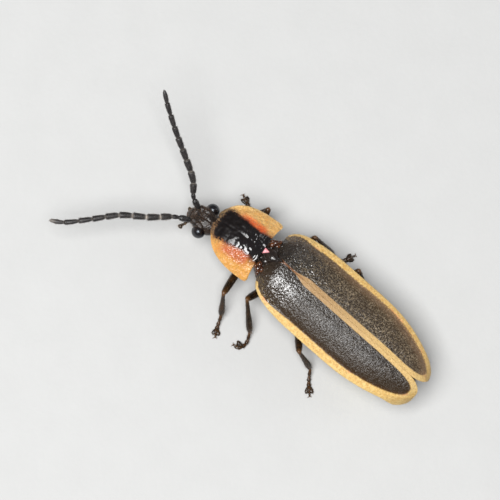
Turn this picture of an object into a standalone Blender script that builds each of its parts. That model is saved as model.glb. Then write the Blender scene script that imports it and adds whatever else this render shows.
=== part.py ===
"""A firefly at life size, standing still on a level floor, with +Z up.

The insect faces -Y and its left side is towards +X. Places are written in the insect's own
frame: its origin is on the floor under the scutellum, on the line where the wing cases meet.
An empty then sets that frame so that the middle of the whole model is over the world origin.
"""

import math

import bmesh
import bpy
from mathutils import Matrix, Vector

# Pieces are shaped in millimetres and brought to metres when they are finished
MM = 0.001
GAP = 0.12

# The insect's frame, seen from the middle of the whole model
FRAME_PLACE = Vector((-1.09, -0.21, 0.0)) * MM

# Wing cases
ELYTRON_LENGTH = 8.26
ELYTRON_FRONT = 0.05
ELYTRON_WIDEST = 2.6
ELYTRA_HALF_WIDTH = 1.87
ELYTRON_TIP_OUT = 0.45
TIP_GAP_LENGTH = 0.8
ELYTRA_TOP = 3.0
ELYTRA_DROP = 0.74
ELYTRON_THICK = 0.5
ELYTRON_MARGIN_THICK = 0.3
ELYTRA_PLACE = Vector((0.06, 0.0, 0.0))
ELYTRA_YAW = math.radians(1.7)
SHOULDER_SLANT = 0.12
MARGIN_WIDTH = 0.33

# Shield over the front of the body, and the thorax below it
PRONOTUM_BASE = Vector((0.16, -0.18, 0.0))
PRONOTUM_YAW = math.radians(7.8)
PRONOTUM_LENGTH = 2.47
PRONOTUM_HALF_WIDTH = 1.457
PRONOTUM_SIDE_TOP = 2.2
PRONOTUM_FRONT_RISE = 0.28
PRONOTUM_DOME = 0.64
HIND_ANGLE = 0.17

# Head, in its own frame at the middle between the eyes
HEAD_PLACE = Vector((0.71, -2.93, 1.68))
HEAD_YAW = math.radians(8.5)
HEAD_RADII = Vector((0.56, 0.72, 0.4))
EYE_OUT = 0.56
EYE_RADII = Vector((0.26, 0.28, 0.31))

# Feelers: paths from root to tip, and the eleven segments' shares of the length
ANTENNA_PATHS = {
    "left": ((1.18, -3.42, 1.95), (1.61, -4.04, 2.15), (2.35, -4.76, 2.26), (3.11, -5.67, 2.3),
             (4.01, -6.38, 2.27), (4.88, -7.09, 2.19), (5.28, -7.63, 2.13)),
    "right": ((0.55, -3.5, 1.95), (0.42, -3.98, 2.34), (-0.02, -4.49, 2.77), (-0.39, -5.38, 3.3),
              (-0.73, -6.3, 3.83), (-1.12, -7.21, 4.36), (-1.41, -7.78, 4.7)),
}
ANTENNA_SHARES = (0.11, 0.05, 0.085, 0.1, 0.1, 0.1, 0.095, 0.095, 0.09, 0.085, 0.09)
ANTENNA_RADIUS = 0.25
ANTENNA_TIP_RADIUS = 0.13
SCAPE_SEGMENTS = 2
FLAGELLUM_BASE_SEGMENTS = 7

# Legs: root of the coxa, hip, knee, ankle and the foot's path on the floor
LEGS = {
    "fore_left": ((0.68, -0.9, 1.17), (0.76, -0.6, 0.8), (2.39, -0.35, 1.5), (2.88, 0.2, 0.42),
                  ((3.3, 0.42), (3.66, 0.63))),
    "mid_left": ((0.47, 0.75, 0.95), (0.72, 0.8, 0.58), (1.91, 0.52, 1.6), (2.59, 1.56, 0.42),
                 ((2.95, 1.75), (3.27, 1.68), (3.38, 1.42))),
    "hind_left": ((0.47, 2.4, 0.9), (0.85, 2.72, 0.6), (2.01, 3.59, 1.45), (1.95, 4.4, 0.42),
                  ((2.35, 4.76), (2.76, 5.17))),
    "fore_right": ((-0.19, -1.27, 1.17), (-0.26, -1.0, 0.72), (-1.57, -1.37, 1.45), (-1.16, -1.6, 0.42),
                   ((-1.42, -2.12), (-1.58, -2.52))),
    "mid_right": ((-0.47, 0.75, 0.95), (-0.72, 0.8, 0.58), (-2.01, 0.85, 1.6), (-2.26, 1.95, 0.42),
                  ((-2.4, 2.36), (-2.95, 2.6))),
    "hind_right": ((-0.47, 2.4, 0.9), (-0.85, 2.72, 0.6), (-2.3, 3.13, 1.4), (-1.95, 4.2, 0.42),
                   ((-1.88, 4.7), (-1.8, 5.25))),
}
COXA_RADIUS = 0.26
FEMUR_BOW = -0.08
JOINT_CLEAR = 0.21
TIGHT_KNEE = math.radians(55.0)
HIP_RADIUS = 0.19
FEMUR_RADIUS = 0.27
KNEE_RADIUS = 0.18
TIBIA_RADIUS = 0.23
TARSUS_RADIUS = 0.17
TARSUS_HEIGHT = 0.13
CLAW_LENGTH = 0.2

# Abdomen: where its rings lie along the body
ABDOMEN_FRONT = 3.2
LANTERN_FRONT = 5.55
ABDOMEN_TIP_FRONT = 6.95
ABDOMEN_END = 7.95
ABDOMEN_HALF_WIDTH = 1.42
ABDOMEN_MIDDLE_HEIGHT = 1.5
ABDOMEN_HALF_HEIGHT = 0.56
RING_STEP = 0.07

SIDES = 20
TUBE_BEVEL = 2
FINE_TUBE_BEVEL = 1
WELD = 0.00005


def clear_scene():
    """Removes whatever objects the scene holds."""
    for obj in list(bpy.data.objects):
        bpy.data.objects.remove(obj)


def material(name, colour, roughness):
    """A plain plastic-like material for one kind of surface."""
    made = bpy.data.materials.new(name)
    made.use_nodes = True
    shader = made.node_tree.nodes["Principled BSDF"]
    shader.inputs["Base Color"].default_value = (*colour, 1.0)
    shader.inputs["Roughness"].default_value = roughness
    shader.inputs["Metallic"].default_value = 0.0
    return made


def place(x, y, z):
    """A point in the insect's frame."""
    return Vector((x, y, z))


def smoothstep(low, high, value):
    """Rises from 0 at low to 1 at high with level ends."""
    share = min(max((value - low) / (high - low), 0.0), 1.0)
    return share * share * (3.0 - 2.0 * share)


def linked(mesh, name="piece"):
    """An object that shows a mesh."""
    obj = bpy.data.objects.new(name, mesh)
    bpy.context.scene.collection.objects.link(obj)
    return obj


def from_bmesh(bm):
    """Makes an object of a bmesh, in triangles that face outwards."""
    bmesh.ops.triangulate(bm, faces=bm.faces)
    bmesh.ops.recalc_face_normals(bm, faces=bm.faces)
    mesh = bpy.data.meshes.new("piece")
    bm.to_mesh(mesh)
    bm.free()
    return linked(mesh)


def applied(obj):
    """Turns an object with modifiers, or a curve, into a plain welded mesh object."""
    bpy.context.view_layer.update()
    graph = bpy.context.evaluated_depsgraph_get()
    mesh = bpy.data.meshes.new_from_object(obj.evaluated_get(graph))
    bm = bmesh.new()
    bm.from_mesh(mesh)
    bmesh.ops.remove_doubles(bm, verts=bm.verts, dist=WELD)
    bmesh.ops.triangulate(bm, faces=bm.faces)
    bm.to_mesh(mesh)
    bm.free()
    made = linked(mesh)
    made.matrix_world = obj.matrix_world
    bpy.data.objects.remove(obj)
    return made


def ellipsoid(centre, radii, turn=None, segments=12, rings=8):
    """A sphere stretched to three radii, turned and set on its centre."""
    bm = bmesh.new()
    bmesh.ops.create_uvsphere(bm, u_segments=segments, v_segments=rings, radius=1.0)
    spread = Matrix.Translation(centre) @ (turn or Matrix()) @ Matrix.Diagonal((*radii, 1.0))
    bmesh.ops.transform(bm, matrix=spread, verts=bm.verts)
    return from_bmesh(bm)


def tube(points, radii, bevel=TUBE_BEVEL):
    """A round tube through points, as thick at each as its radius says, with closed ends."""
    curve = bpy.data.curves.new("tube", "CURVE")
    curve.dimensions = "3D"
    curve.bevel_depth = 1.0
    curve.bevel_resolution = bevel
    curve.use_fill_caps = True
    curve.render_resolution_u = 0
    spline = curve.splines.new("POLY")
    spline.points.add(len(points) - 1)
    for knot, point, radius in zip(spline.points, points, radii):
        knot.co = (*point, 1.0)
        knot.radius = radius
    return applied(linked(curve))


def loft(rings):
    """A closed body through rings of points, which all have the same count."""
    bm = bmesh.new()
    loops = [[bm.verts.new(point) for point in ring] for ring in rings]
    for near, far in zip(loops, loops[1:]):
        for here in range(len(near)):
            after = (here + 1) % len(near)
            bm.faces.new((near[here], near[after], far[after], far[here]))
    bm.faces.new(loops[0])
    bm.faces.new(loops[-1])
    return from_bmesh(bm)


def body_ring(middle, half_width, up, down, squareness=2.4):
    """A ring across the body, rounder or squarer, with its own height above and below."""
    ring = []
    for step in range(SIDES):
        turn = 2.0 * math.pi * step / SIDES
        across = math.copysign(abs(math.cos(turn)) ** (2.0 / squareness), math.cos(turn))
        rise = math.copysign(abs(math.sin(turn)) ** (2.0 / squareness), math.sin(turn))
        height = up if rise > 0.0 else down
        ring.append(middle + Vector((half_width * across, 0.0, height * rise)))
    return ring


def plate(columns, rows, surface, thickness):
    """A curved plate whose upper face follows a function and whose lower face is split alike."""
    bm = bmesh.new()
    bmesh.ops.create_grid(bm, x_segments=columns, y_segments=rows, size=0.5)
    shares = {vert: (vert.co.x + 0.5, vert.co.y + 0.5) for vert in bm.verts}
    depth = {}
    for vert, (across, along) in shares.items():
        vert.co = surface(across, along)
        depth[vert.co.copy().freeze()] = thickness(across, along)
    bmesh.ops.triangulate(bm, faces=bm.faces)
    lower = bmesh.ops.extrude_face_region(bm, geom=bm.faces)["geom"]
    for vert in (item for item in lower if isinstance(item, bmesh.types.BMVert)):
        vert.co.z -= depth[vert.co.copy().freeze()]
    return from_bmesh(bm)


def boolean(obj, pieces, operation):
    """Joins pieces to an object, or cuts them out of it, and removes them."""
    group = bpy.data.collections.new("pieces")
    bpy.context.scene.collection.children.link(group)
    for piece in pieces:
        group.objects.link(piece)
    change = obj.modifiers.new("change", "BOOLEAN")
    change.operation = operation
    change.operand_type = "COLLECTION"
    change.collection = group
    change.solver = "MANIFOLD"
    made = applied(obj)
    for piece in pieces:
        bpy.data.objects.remove(piece)
    bpy.data.collections.remove(group)
    return largest_surface(made)


def largest_surface(obj):
    """Keeps only the largest closed surface of an object."""
    bm = bmesh.new()
    bm.from_mesh(obj.data)
    left = set(bm.faces)
    groups = []
    while left:
        seed = left.pop()
        group, rim = {seed}, [seed]
        while rim:
            face = rim.pop()
            whole = [edge for edge in face.edges if len(edge.link_faces) == 2]
            near = {beside for edge in whole for beside in edge.link_faces} - group
            group |= near
            rim.extend(near)
        left -= group
        groups.append(group)
    groups.sort(key=len)
    for group in groups[:-1]:
        bmesh.ops.delete(bm, geom=list(group), context="FACES")
    bm.to_mesh(obj.data)
    bm.free()
    return obj


def smooth_path(points, steps):
    """A curve through points, with a few steps between each two of them."""
    ends = [2 * points[0] - points[1], *points, 2 * points[-1] - points[-2]]
    path = [points[0]]
    for before, start, end, after in zip(ends, ends[1:], ends[2:], ends[3:]):
        for step in range(1, steps + 1):
            share = step / steps
            lead = 2 * before - 5 * start + 4 * end - after
            turn = 3 * start - before - 3 * end + after
            path.append(start + 0.5 * share * ((end - before) + share * (lead + share * turn)))
    return path


def along(path, distance):
    """The point of a path at a distance from its start."""
    for start, end in zip(path, path[1:]):
        step = (end - start).length
        if distance <= step:
            return start.lerp(end, distance / step)
        distance -= step
    return path[-1]


def length_of(path):
    """The length of a path."""
    return sum((end - start).length for start, end in zip(path, path[1:]))


def keep(name, obj, surface):
    """Names a finished piece, gives it its material and sets it in the insect's frame."""
    obj.name = name
    obj.data.name = name
    obj.data.transform(Matrix.Scale(MM, 4))
    obj.data.materials.clear()
    obj.data.materials.append(surface)
    obj.data.shade_smooth()
    obj.data.set_sharp_from_angle(angle=math.radians(35))
    obj.parent = bpy.data.objects["firefly_frame"]
    for group in list(obj.users_collection):
        group.objects.unlink(obj)
    bpy.data.collections["firefly"].objects.link(obj)
    return obj


def elytron_outer(back):
    """How far the outer edge of a wing case is from the middle line."""
    if back < ELYTRON_WIDEST:
        share = 1.0 - back / ELYTRON_WIDEST
        return ELYTRA_HALF_WIDTH * (1.0 - share * share) ** (1.0 / 6.0)
    share = (back - ELYTRON_WIDEST) / (ELYTRON_LENGTH - ELYTRON_WIDEST)
    reach = ELYTRA_HALF_WIDTH - ELYTRON_TIP_OUT
    return ELYTRON_TIP_OUT + reach * max(1.0 - share ** 2.3, 0.0) ** (1.0 / 2.3)


def elytron_inner(back):
    """How far the inner edge of a wing case is from the middle line."""
    seam = 0.5 * GAP
    scutellum_notch = 0.42 * (1.0 - smoothstep(-0.1, 0.62, back))
    share = max(back - (ELYTRON_LENGTH - TIP_GAP_LENGTH), 0.0) / TIP_GAP_LENGTH
    return seam + scutellum_notch + (ELYTRON_TIP_OUT - seam) * (1.0 - math.sqrt(max(1.0 - share * share, 0.0)))


def elytron_top(back, out):
    """The height of a wing case's upper face."""
    across = out / elytron_outer(back)
    front = 0.2 * (1.0 - smoothstep(0.0, 1.1, back))
    rear = 0.42 * smoothstep(5.6, 9.4, back)
    bend = ELYTRA_DROP * across ** 2.3
    rim = 0.09 * smoothstep(elytron_outer(back) - MARGIN_WIDTH, elytron_outer(back), out)
    return ELYTRA_TOP - front - rear - bend + rim


def elytra_frame():
    """From the closed wing cases' own frame to the insect's."""
    return Matrix.Translation(ELYTRA_PLACE) @ Matrix.Rotation(ELYTRA_YAW, 4, "Z")


def make_elytron(name, side, surface):
    """One wing case: a long arched plate with a flattened margin and a rounded tip."""

    def back_at(share):
        ease = 0.5 - 0.5 * math.cos(math.pi * share)
        return ELYTRON_LENGTH * (0.004 + 0.991 * (0.45 * share + 0.55 * ease))

    def upper(across, lengthwise):
        back = back_at(lengthwise)
        inner = elytron_inner(back)
        out = inner + (elytron_outer(back) - inner) * across
        slant = SHOULDER_SLANT * smoothstep(0.55, 1.3, out) * (1.0 - smoothstep(0.0, 1.6, back))
        point = Vector((side * out, ELYTRON_FRONT + back + side * slant, elytron_top(back, out)))
        return elytra_frame() @ point

    def thickness(across, lengthwise):
        edge = smoothstep(0.6, 1.0, across)
        return ELYTRON_THICK + (ELYTRON_MARGIN_THICK - ELYTRON_THICK) * edge

    keep(name, plate(8, 22, upper, thickness), surface)


def pronotum_half_width(ahead):
    """Half the shield's width at a distance ahead of its hind corners."""
    share = max(ahead - 0.3, 0.0) / (PRONOTUM_LENGTH - 0.3)
    return PRONOTUM_HALF_WIDTH * (1.0 - min(share, 1.0) ** 2.5) ** 0.4


def pronotum_dome(across, ahead):
    """How far the shield swells at a place, from 0 at its rim to 1."""
    sideways = 1.0 - abs(across) ** 2.4
    forwards = 1.0 - (ahead / PRONOTUM_LENGTH) ** 3.2
    hind = 0.86 + 0.14 * smoothstep(0.0, 0.8, ahead)
    return max(sideways * forwards * hind, 0.0)


def pronotum_frame():
    """From the shield's own frame to the insect's."""
    return Matrix.Translation(PRONOTUM_BASE) @ Matrix.Rotation(PRONOTUM_YAW, 4, "Z")


def make_pronotum(surface):
    """The shield: a semi-elliptic plate with a domed disc and a flattened, turned-up rim."""

    def place_of(share_across, lengthwise):
        across = 2.0 * share_across - 1.0
        base = HIND_ANGLE * (1.0 - abs(across) ** 3.0)
        reach = 0.9985 * PRONOTUM_LENGTH
        ahead = base + (reach - base) * (0.5 * lengthwise + 0.5 * math.sin(0.5 * math.pi * lengthwise))
        return across, ahead

    def upper(share_across, lengthwise):
        across, ahead = place_of(share_across, lengthwise)
        rim = PRONOTUM_SIDE_TOP + PRONOTUM_FRONT_RISE * (ahead / PRONOTUM_LENGTH) ** 2
        height = rim + PRONOTUM_DOME * pronotum_dome(across, ahead)
        height += 0.06 * smoothstep(0.78, 1.0, abs(across))
        local = Vector((across * pronotum_half_width(ahead), -ahead, height))
        return pronotum_frame() @ local

    def thickness(share_across, lengthwise):
        across, ahead = place_of(share_across, lengthwise)
        return 0.28 + 0.22 * pronotum_dome(across, ahead)

    keep("pronotum", plate(14, 12, upper, thickness), surface)


def make_prothorax(surface):
    """The front of the thorax under the shield, with a round socket for each fore coxa."""
    stations = (  # ahead, half width, top, bottom
        (2.02, 0.42, 1.92, 1.4),
        (1.85, 0.6, 2.0, 1.28),
        (1.4, 0.8, 2.08, 1.12),
        (0.9, 0.88, 2.12, 1.05),
        (0.45, 0.84, 2.12, 1.1),
        (0.22, 0.66, 2.04, 1.25),
    )
    rings = []
    for ahead, half_width, top, bottom in stations:
        middle = pronotum_frame() @ place(0.0, -ahead, 0.5 * (top + bottom))
        half = 0.5 * (top - bottom)
        rings.append(body_ring(middle, half_width, half, half))
    body = loft(rings)
    sockets = [coxa_socket(leg) for leg in ("fore_left", "fore_right")]
    keep("prothorax", boolean(body, sockets, "DIFFERENCE"), surface)


def make_pterothorax(surface):
    """The middle and hind thorax under the wing cases, with sockets for four coxae."""
    stations = (  # back, half width, top, bottom
        (-0.26, 0.55, 2.14, 1.35),
        (-0.1, 0.78, 2.22, 1.15),
        (0.3, 1.02, 2.28, 0.98),
        (0.9, 1.14, 2.32, 0.88),
        (1.8, 1.32, 2.32, 0.84),
        (2.5, 1.36, 2.28, 0.86),
        (2.9, 1.36, 2.2, 0.96),
        (3.05, 1.2, 2.1, 1.1),
    )
    rings = []
    for back, half_width, top, bottom in stations:
        middle = place(0.0, back, 0.5 * (top + bottom))
        half = 0.5 * (top - bottom)
        rings.append(body_ring(middle, half_width, half, half))
    body = loft(rings)
    sockets = [coxa_socket(leg) for leg in LEGS if not leg.startswith("fore")]
    keep("pterothorax", boolean(body, sockets, "DIFFERENCE"), surface)


def make_scutellum(surface):
    """The small three-cornered plate between the wing cases' bases."""
    rings = []
    for back, half_width, top in ((-0.2, 0.24, 2.68), (-0.05, 0.27, 2.76), (0.15, 0.2, 2.77), (0.48, 0.05, 2.72)):
        middle = place(0.06, back, top - 0.17)
        rings.append(body_ring(middle, half_width, 0.17, 0.17))
    keep("scutellum", loft(rings), surface)


def make_wing_base(name, centre, surface):
    """A smooth knob at the root of a wing case."""
    keep(name, ellipsoid(centre, Vector((0.2, 0.15, 0.15)), segments=12, rings=8), surface)


def abdomen_half_width(back):
    """Half the abdomen's width, full at its middle and narrow at its end."""
    share = max(back - 4.6, 0.0) / (ABDOMEN_END + 0.12 - 4.6)
    swell = ABDOMEN_HALF_WIDTH - 0.12 * (1.0 - smoothstep(ABDOMEN_FRONT, 4.6, back))
    return swell * (1.0 - share ** 2.6) ** 0.5


def make_abdomen_part(name, front, end, segments, surface):
    """A run of abdomen rings, each a little wider at its hind edge than the next one's front."""
    rings = []
    start_back = front + 0.5 * GAP
    step = (end - 0.5 * GAP - start_back) / segments
    for number in range(segments):
        for share, swell in ((0.0, 0.0), (0.12, 0.55), (0.55, 0.9), (0.95, 1.0)):
            back = start_back + step * (number + share)
            half_width = abdomen_half_width(back) - RING_STEP * (1.0 - swell)
            height = ABDOMEN_HALF_HEIGHT * min(1.0, 0.35 + abdomen_half_width(back) / ABDOMEN_HALF_WIDTH)
            height = min(height, half_width) - RING_STEP * (1.0 - swell)
            middle = Vector((0.0, back, ABDOMEN_MIDDLE_HEIGHT))
            rings.append(body_ring(middle, half_width, height, height, 2.2))
    keep(name, loft(rings), surface)


def head_frame():
    """From the head's own frame to the insect's."""
    return Matrix.Translation(HEAD_PLACE) @ Matrix.Rotation(HEAD_YAW, 4, "Z")


def make_head(surface):
    """The head: a rounded capsule with a short face, sockets for the feelers, and jaws."""
    frame = head_frame()
    turn = Matrix.Rotation(HEAD_YAW, 4, "Z")
    capsule = ellipsoid(HEAD_PLACE, HEAD_RADII, turn, 16, 10)
    face = ellipsoid(frame @ place(0.0, -0.52, -0.12), Vector((0.36, 0.3, 0.27)), turn, 12, 8)
    pieces = [face]
    for side in (-1.0, 1.0):
        socket = frame @ place(side * 0.3, -0.44, 0.1)
        pieces.append(ellipsoid(socket, Vector((0.17, 0.17, 0.18)), turn, 10, 7))
        jaw = [(0.2, -0.62, -0.24), (0.2, -0.8, -0.27), (0.1, -0.92, -0.29), (-0.02, -0.96, -0.3)]
        points = [frame @ place(side * x, y, z - 0.03 * side) for x, y, z in jaw]
        pieces.append(tube(points, [0.08, 0.07, 0.05, 0.02], FINE_TUBE_BEVEL))
    head = boolean(capsule, pieces, "UNION")
    clear = EYE_RADII + Vector((GAP, GAP, GAP))
    hollows = [ellipsoid(frame @ Vector((side * EYE_OUT, 0.0, 0.0)), clear, turn) for side in (-1.0, 1.0)]
    hollows += [ellipsoid(place(*path[0]), Vector((0.22, 0.22, 0.22)), None, 10, 7)
                for path in ANTENNA_PATHS.values()]
    keep("head", boolean(head, hollows, "DIFFERENCE"), surface)


def make_eye(name, side, surface):
    """One compound eye, half sunk in the head."""
    centre = head_frame() @ Vector((side * EYE_OUT, 0.0, 0.0))
    keep(name, ellipsoid(centre, EYE_RADII, Matrix.Rotation(HEAD_YAW, 4, "Z"), 14, 10), surface)


def make_palp(name, points, surface):
    """A mouth feeler: three short joints and a wider last one."""
    path = smooth_path([place(*point) for point in points], 3)
    radii = []
    for number in range(len(path)):
        share = number / (len(path) - 1)
        radii.append((0.08 + 0.07 * smoothstep(0.5, 0.85, share)))
    radii[-1] *= 0.6
    keep(name, tube(path, radii), surface)


def antenna_radius(share):
    """A feeler's thickness from root to tip, without the beading of its segments."""
    return ANTENNA_RADIUS + (ANTENNA_TIP_RADIUS - ANTENNA_RADIUS) * smoothstep(0.35, 1.05, share)


def make_antenna(side, surface):
    """One feeler in three lengths, each a run of segments that widen to their far ends."""
    path = smooth_path([place(*point) for point in ANTENNA_PATHS[side]], 6)
    total = length_of(path)
    joints = [0.0]
    for share in ANTENNA_SHARES:
        joints.append(joints[-1] + share * total)
    cuts = (0, SCAPE_SEGMENTS, FLAGELLUM_BASE_SEGMENTS, len(ANTENNA_SHARES))
    for part, first, last in zip(("scape", "flagellum_base", "flagellum_tip"), cuts, cuts[1:]):
        points, radii = [], []
        for number in range(first, last):
            start = joints[number] + (0.5 * GAP if number == first and first else 0.0)
            end = joints[number + 1] - (0.5 * GAP if number == last - 1 and last < len(ANTENNA_SHARES) else 0.0)
            for share, swell in ((0.0, 0.62), (0.14, 0.78), (0.8, 1.0), (0.97, 0.88)):
                distance = start + (end - start) * share
                thick = antenna_radius(distance / total)
                if first == 0:
                    thick *= 0.85 if number == 0 else 0.7
                points.append(along(path, distance))
                radii.append(thick * swell)
        keep(f"antenna_{side}_{part}", tube(points, radii), surface)


def coxa_socket(leg):
    """The room that a coxa's round root needs."""
    reach = COXA_RADIUS + GAP
    return ellipsoid(place(*LEGS[leg][0]), Vector((reach, reach, reach)), None, 12, 8)


def ball(centre, radius):
    """A small round cutter or joint end."""
    return ellipsoid(centre, Vector((radius, radius, radius)), None, 12, 8)


def limb(start, end, radii, bow=0.0):
    """A leg piece between two joints, rounded at both ends and bowed upwards a little."""
    shares = (0.0, 0.06, 0.2, 0.5, 0.8, 0.94, 1.0)
    near, middle, far = radii
    thick = (0.5 * near, near, 0.5 * (near + middle), middle, 0.5 * (middle + far), far, 0.5 * far)
    points = []
    for share in shares:
        point = start.lerp(end, share)
        point.z += bow * math.sin(math.pi * share)
        points.append(point)
    return tube(points, thick)


def make_leg(leg, surface, foot_surface):
    """A leg's coxa, femur, tibia and tarsus, each cut clear of the joint before it."""
    root, hip, knee, ankle = (place(*point) for point in LEGS[leg][:4])
    coxa = boolean(ball(root, COXA_RADIUS), [limb(root, hip, (COXA_RADIUS, 0.24, HIP_RADIUS))], "UNION")
    keep(f"{leg}_coxa", coxa, surface)
    femur = limb(hip, knee, (HIP_RADIUS, FEMUR_RADIUS, KNEE_RADIUS), FEMUR_BOW)
    keep(f"{leg}_femur", boolean(femur, [ball(hip, HIP_RADIUS + GAP)], "DIFFERENCE"), surface)
    tibia = limb(knee, ankle, (KNEE_RADIUS, 0.21, TIBIA_RADIUS))
    cutters = [ball(knee, JOINT_CLEAR)]
    if (hip - knee).angle(ankle - knee) < TIGHT_KNEE:
        room = (HIP_RADIUS + GAP, FEMUR_RADIUS + GAP, KNEE_RADIUS + GAP)
        cutters.append(limb(hip, knee, room, FEMUR_BOW))
    tibia = boolean(tibia, cutters, "DIFFERENCE")
    keep(f"{leg}_tibia", tibia, surface)
    make_tarsus(leg, ankle, foot_surface)


def make_tarsus(leg, ankle, surface):
    """The foot: bell-shaped segments, a lobed one, a slim last one and two claws, flat below."""
    floor_points = [place(x, y, 0.0) + Vector((0.0, 0.0, TARSUS_HEIGHT)) for x, y in LEGS[leg][4]]
    path = smooth_path([ankle, *floor_points], 6)
    total = length_of(path)
    points, radii = [], []
    for number in range(5):
        wide = TARSUS_RADIUS if number < 3 else 0.62 * TARSUS_RADIUS
        for share, swell in ((0.0, 0.7), (0.85, 1.0)):
            points.append(along(path, total * (number + share) / 5.0))
            radii.append(wide * swell)
    foot = tube(points, radii, FINE_TUBE_BEVEL)
    ahead = (path[-1] - path[-3]).normalized()
    aside = Vector((-ahead.y, ahead.x, 0.0))
    lobes_at = along(path, 0.7 * total)
    pieces = []
    for side in (-1.0, 1.0):
        lobe_turn = Matrix.Rotation(math.atan2(ahead.y, ahead.x) + side * 0.35, 4, "Z")
        lobe = lobes_at + aside * side * 0.11 + ahead * 0.03
        lobe.z = 0.1
        pieces.append(ellipsoid(lobe, Vector((0.2, 0.11, 0.13)), lobe_turn, 8, 5))
        claw = [path[-1] - ahead * 0.06]
        for share, low in ((0.5, 0.01), (1.0, 0.07)):
            tip = path[-1] + (ahead + aside * side * 0.6) * CLAW_LENGTH * share
            claw.append(tip - Vector((0.0, 0.0, low)))
        pieces.append(tube(claw, [0.07, 0.055, 0.025], FINE_TUBE_BEVEL))
    foot = boolean(foot, pieces, "UNION")
    floor = bmesh.new()
    bmesh.ops.create_cube(floor, size=2.0)
    bmesh.ops.translate(floor, verts=floor.verts, vec=Vector((path[-1].x, path[-1].y, -1.0)))
    below = from_bmesh(floor)
    foot = boolean(foot, [below, ball(ankle, JOINT_CLEAR)], "DIFFERENCE")
    keep(f"{leg}_tarsus", foot, surface)


def main():
    """Builds every piece of the insect."""
    clear_scene()
    group = bpy.data.collections.new("firefly")
    bpy.context.scene.collection.children.link(group)
    frame = bpy.data.objects.new("firefly_frame", None)
    frame.location = FRAME_PLACE
    group.objects.link(frame)

    charcoal = material("charcoal_wing_case", (0.05, 0.042, 0.038), 0.55)
    tan = material("tan_shield", (0.76, 0.42, 0.13), 0.45)
    black = material("black_plate", (0.02, 0.014, 0.01), 0.3)
    eye_black = material("eye", (0.006, 0.006, 0.008), 0.12)
    amber = material("amber_plate", (0.35, 0.12, 0.03), 0.3)
    leg_brown = material("leg", (0.06, 0.03, 0.014), 0.4)
    feeler_grey = material("feeler", (0.06, 0.05, 0.05), 0.6)
    belly = material("belly", (0.05, 0.03, 0.02), 0.45)
    lantern = material("lantern", (0.8, 0.75, 0.45), 0.5)

    make_head(black)
    for name, side in (("left", 1.0), ("right", -1.0)):
        make_eye(f"eye_{name}", side, eye_black)
        make_antenna(name, feeler_grey)
        make_elytron(f"elytron_{name}", side, charcoal)
    make_palp("palp_left", ((1.0, -3.3, 1.22), (1.25, -3.4, 1.1), (1.5, -3.5, 1.15), (1.56, -3.62, 1.25)), leg_brown)
    make_palp("palp_right", ((0.6, -3.36, 1.22), (0.5, -3.55, 1.1), (0.62, -3.75, 1.15), (0.72, -3.9, 1.25)), leg_brown)
    make_pronotum(tan)
    make_prothorax(belly)
    make_pterothorax(belly)
    make_scutellum(black)
    make_wing_base("wing_base_left", place(0.68, -0.05, 2.5), amber)
    make_wing_base("wing_base_right", place(-0.52, -0.12, 2.5), amber)
    make_abdomen_part("abdomen", ABDOMEN_FRONT, LANTERN_FRONT, 4, belly)
    make_abdomen_part("lantern", LANTERN_FRONT, ABDOMEN_TIP_FRONT, 2, lantern)
    make_abdomen_part("abdomen_tip", ABDOMEN_TIP_FRONT, ABDOMEN_END, 2, belly)
    for leg in LEGS:
        make_leg(leg, leg_brown, leg_brown)


main()
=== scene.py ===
"""The looks of a life-size firefly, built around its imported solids.

Pieces are shaped in millimetres in the insect's own frame: +X is its left, -Y is ahead, and
the origin is on the floor under the scutellum. Each is brought to metres when it is finished.
"""

import math

import bmesh
import bpy
import numpy as np
from mathutils import Matrix, Vector


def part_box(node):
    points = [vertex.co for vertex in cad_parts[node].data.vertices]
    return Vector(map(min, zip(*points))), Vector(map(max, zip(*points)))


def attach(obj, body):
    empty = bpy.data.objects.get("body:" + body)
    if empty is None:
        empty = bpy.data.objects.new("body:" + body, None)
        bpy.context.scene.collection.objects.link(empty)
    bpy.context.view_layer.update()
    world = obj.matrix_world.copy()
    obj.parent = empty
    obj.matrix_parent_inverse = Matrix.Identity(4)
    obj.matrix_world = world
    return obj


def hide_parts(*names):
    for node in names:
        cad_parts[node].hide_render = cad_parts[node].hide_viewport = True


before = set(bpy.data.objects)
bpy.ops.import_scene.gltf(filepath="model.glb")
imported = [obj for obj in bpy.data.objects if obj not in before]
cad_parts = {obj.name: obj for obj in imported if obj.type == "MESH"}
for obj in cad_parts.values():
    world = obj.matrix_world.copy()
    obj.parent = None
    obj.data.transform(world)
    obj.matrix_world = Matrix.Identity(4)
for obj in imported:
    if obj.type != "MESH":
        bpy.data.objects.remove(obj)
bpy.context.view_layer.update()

MM = 0.001
SEED = 20

# Wing cases
ELYTRON_LENGTH = 8.26
ELYTRON_FRONT = 0.05
ELYTRON_WIDEST = 2.6
REAR_FULLNESS = 2.3
REAR_SWELL = 0.09
REAR_SWELL_AT = 5.6
REAR_SWELL_REACH = 1.5
ELYTRA_HALF_WIDTH = 1.87
ELYTRON_TIP_OUT = 0.45
TIP_GAP_LENGTH = 0.8
ELYTRA_TOP = 3.0
ELYTRA_DROP = 0.74
ELYTRON_THICK = 0.11
ELYTRA_PLACE = Vector((0.06, 0.0, 0.0))
ELYTRA_YAW = math.radians(1.7)
SHOULDER_SLANT = 0.12
MARGIN_WIDTH = 0.33
SEAM_GAP = 0.003
RIB_WIDTH = 0.04
RIBS = ((0.3, 0.014), (0.52, 0.016), (0.73, 0.012))

# Shield
PRONOTUM_BASE = Vector((0.16, -0.18, 0.0))
PRONOTUM_YAW = math.radians(7.8)
PRONOTUM_LENGTH = 2.47
PRONOTUM_HALF_WIDTH = 1.457
PRONOTUM_SIDE_TOP = 2.2
PRONOTUM_FRONT_RISE = 0.28
PRONOTUM_DOME = 0.64
PRONOTUM_THICK = 0.09
HIND_ANGLE = 0.17

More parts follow.
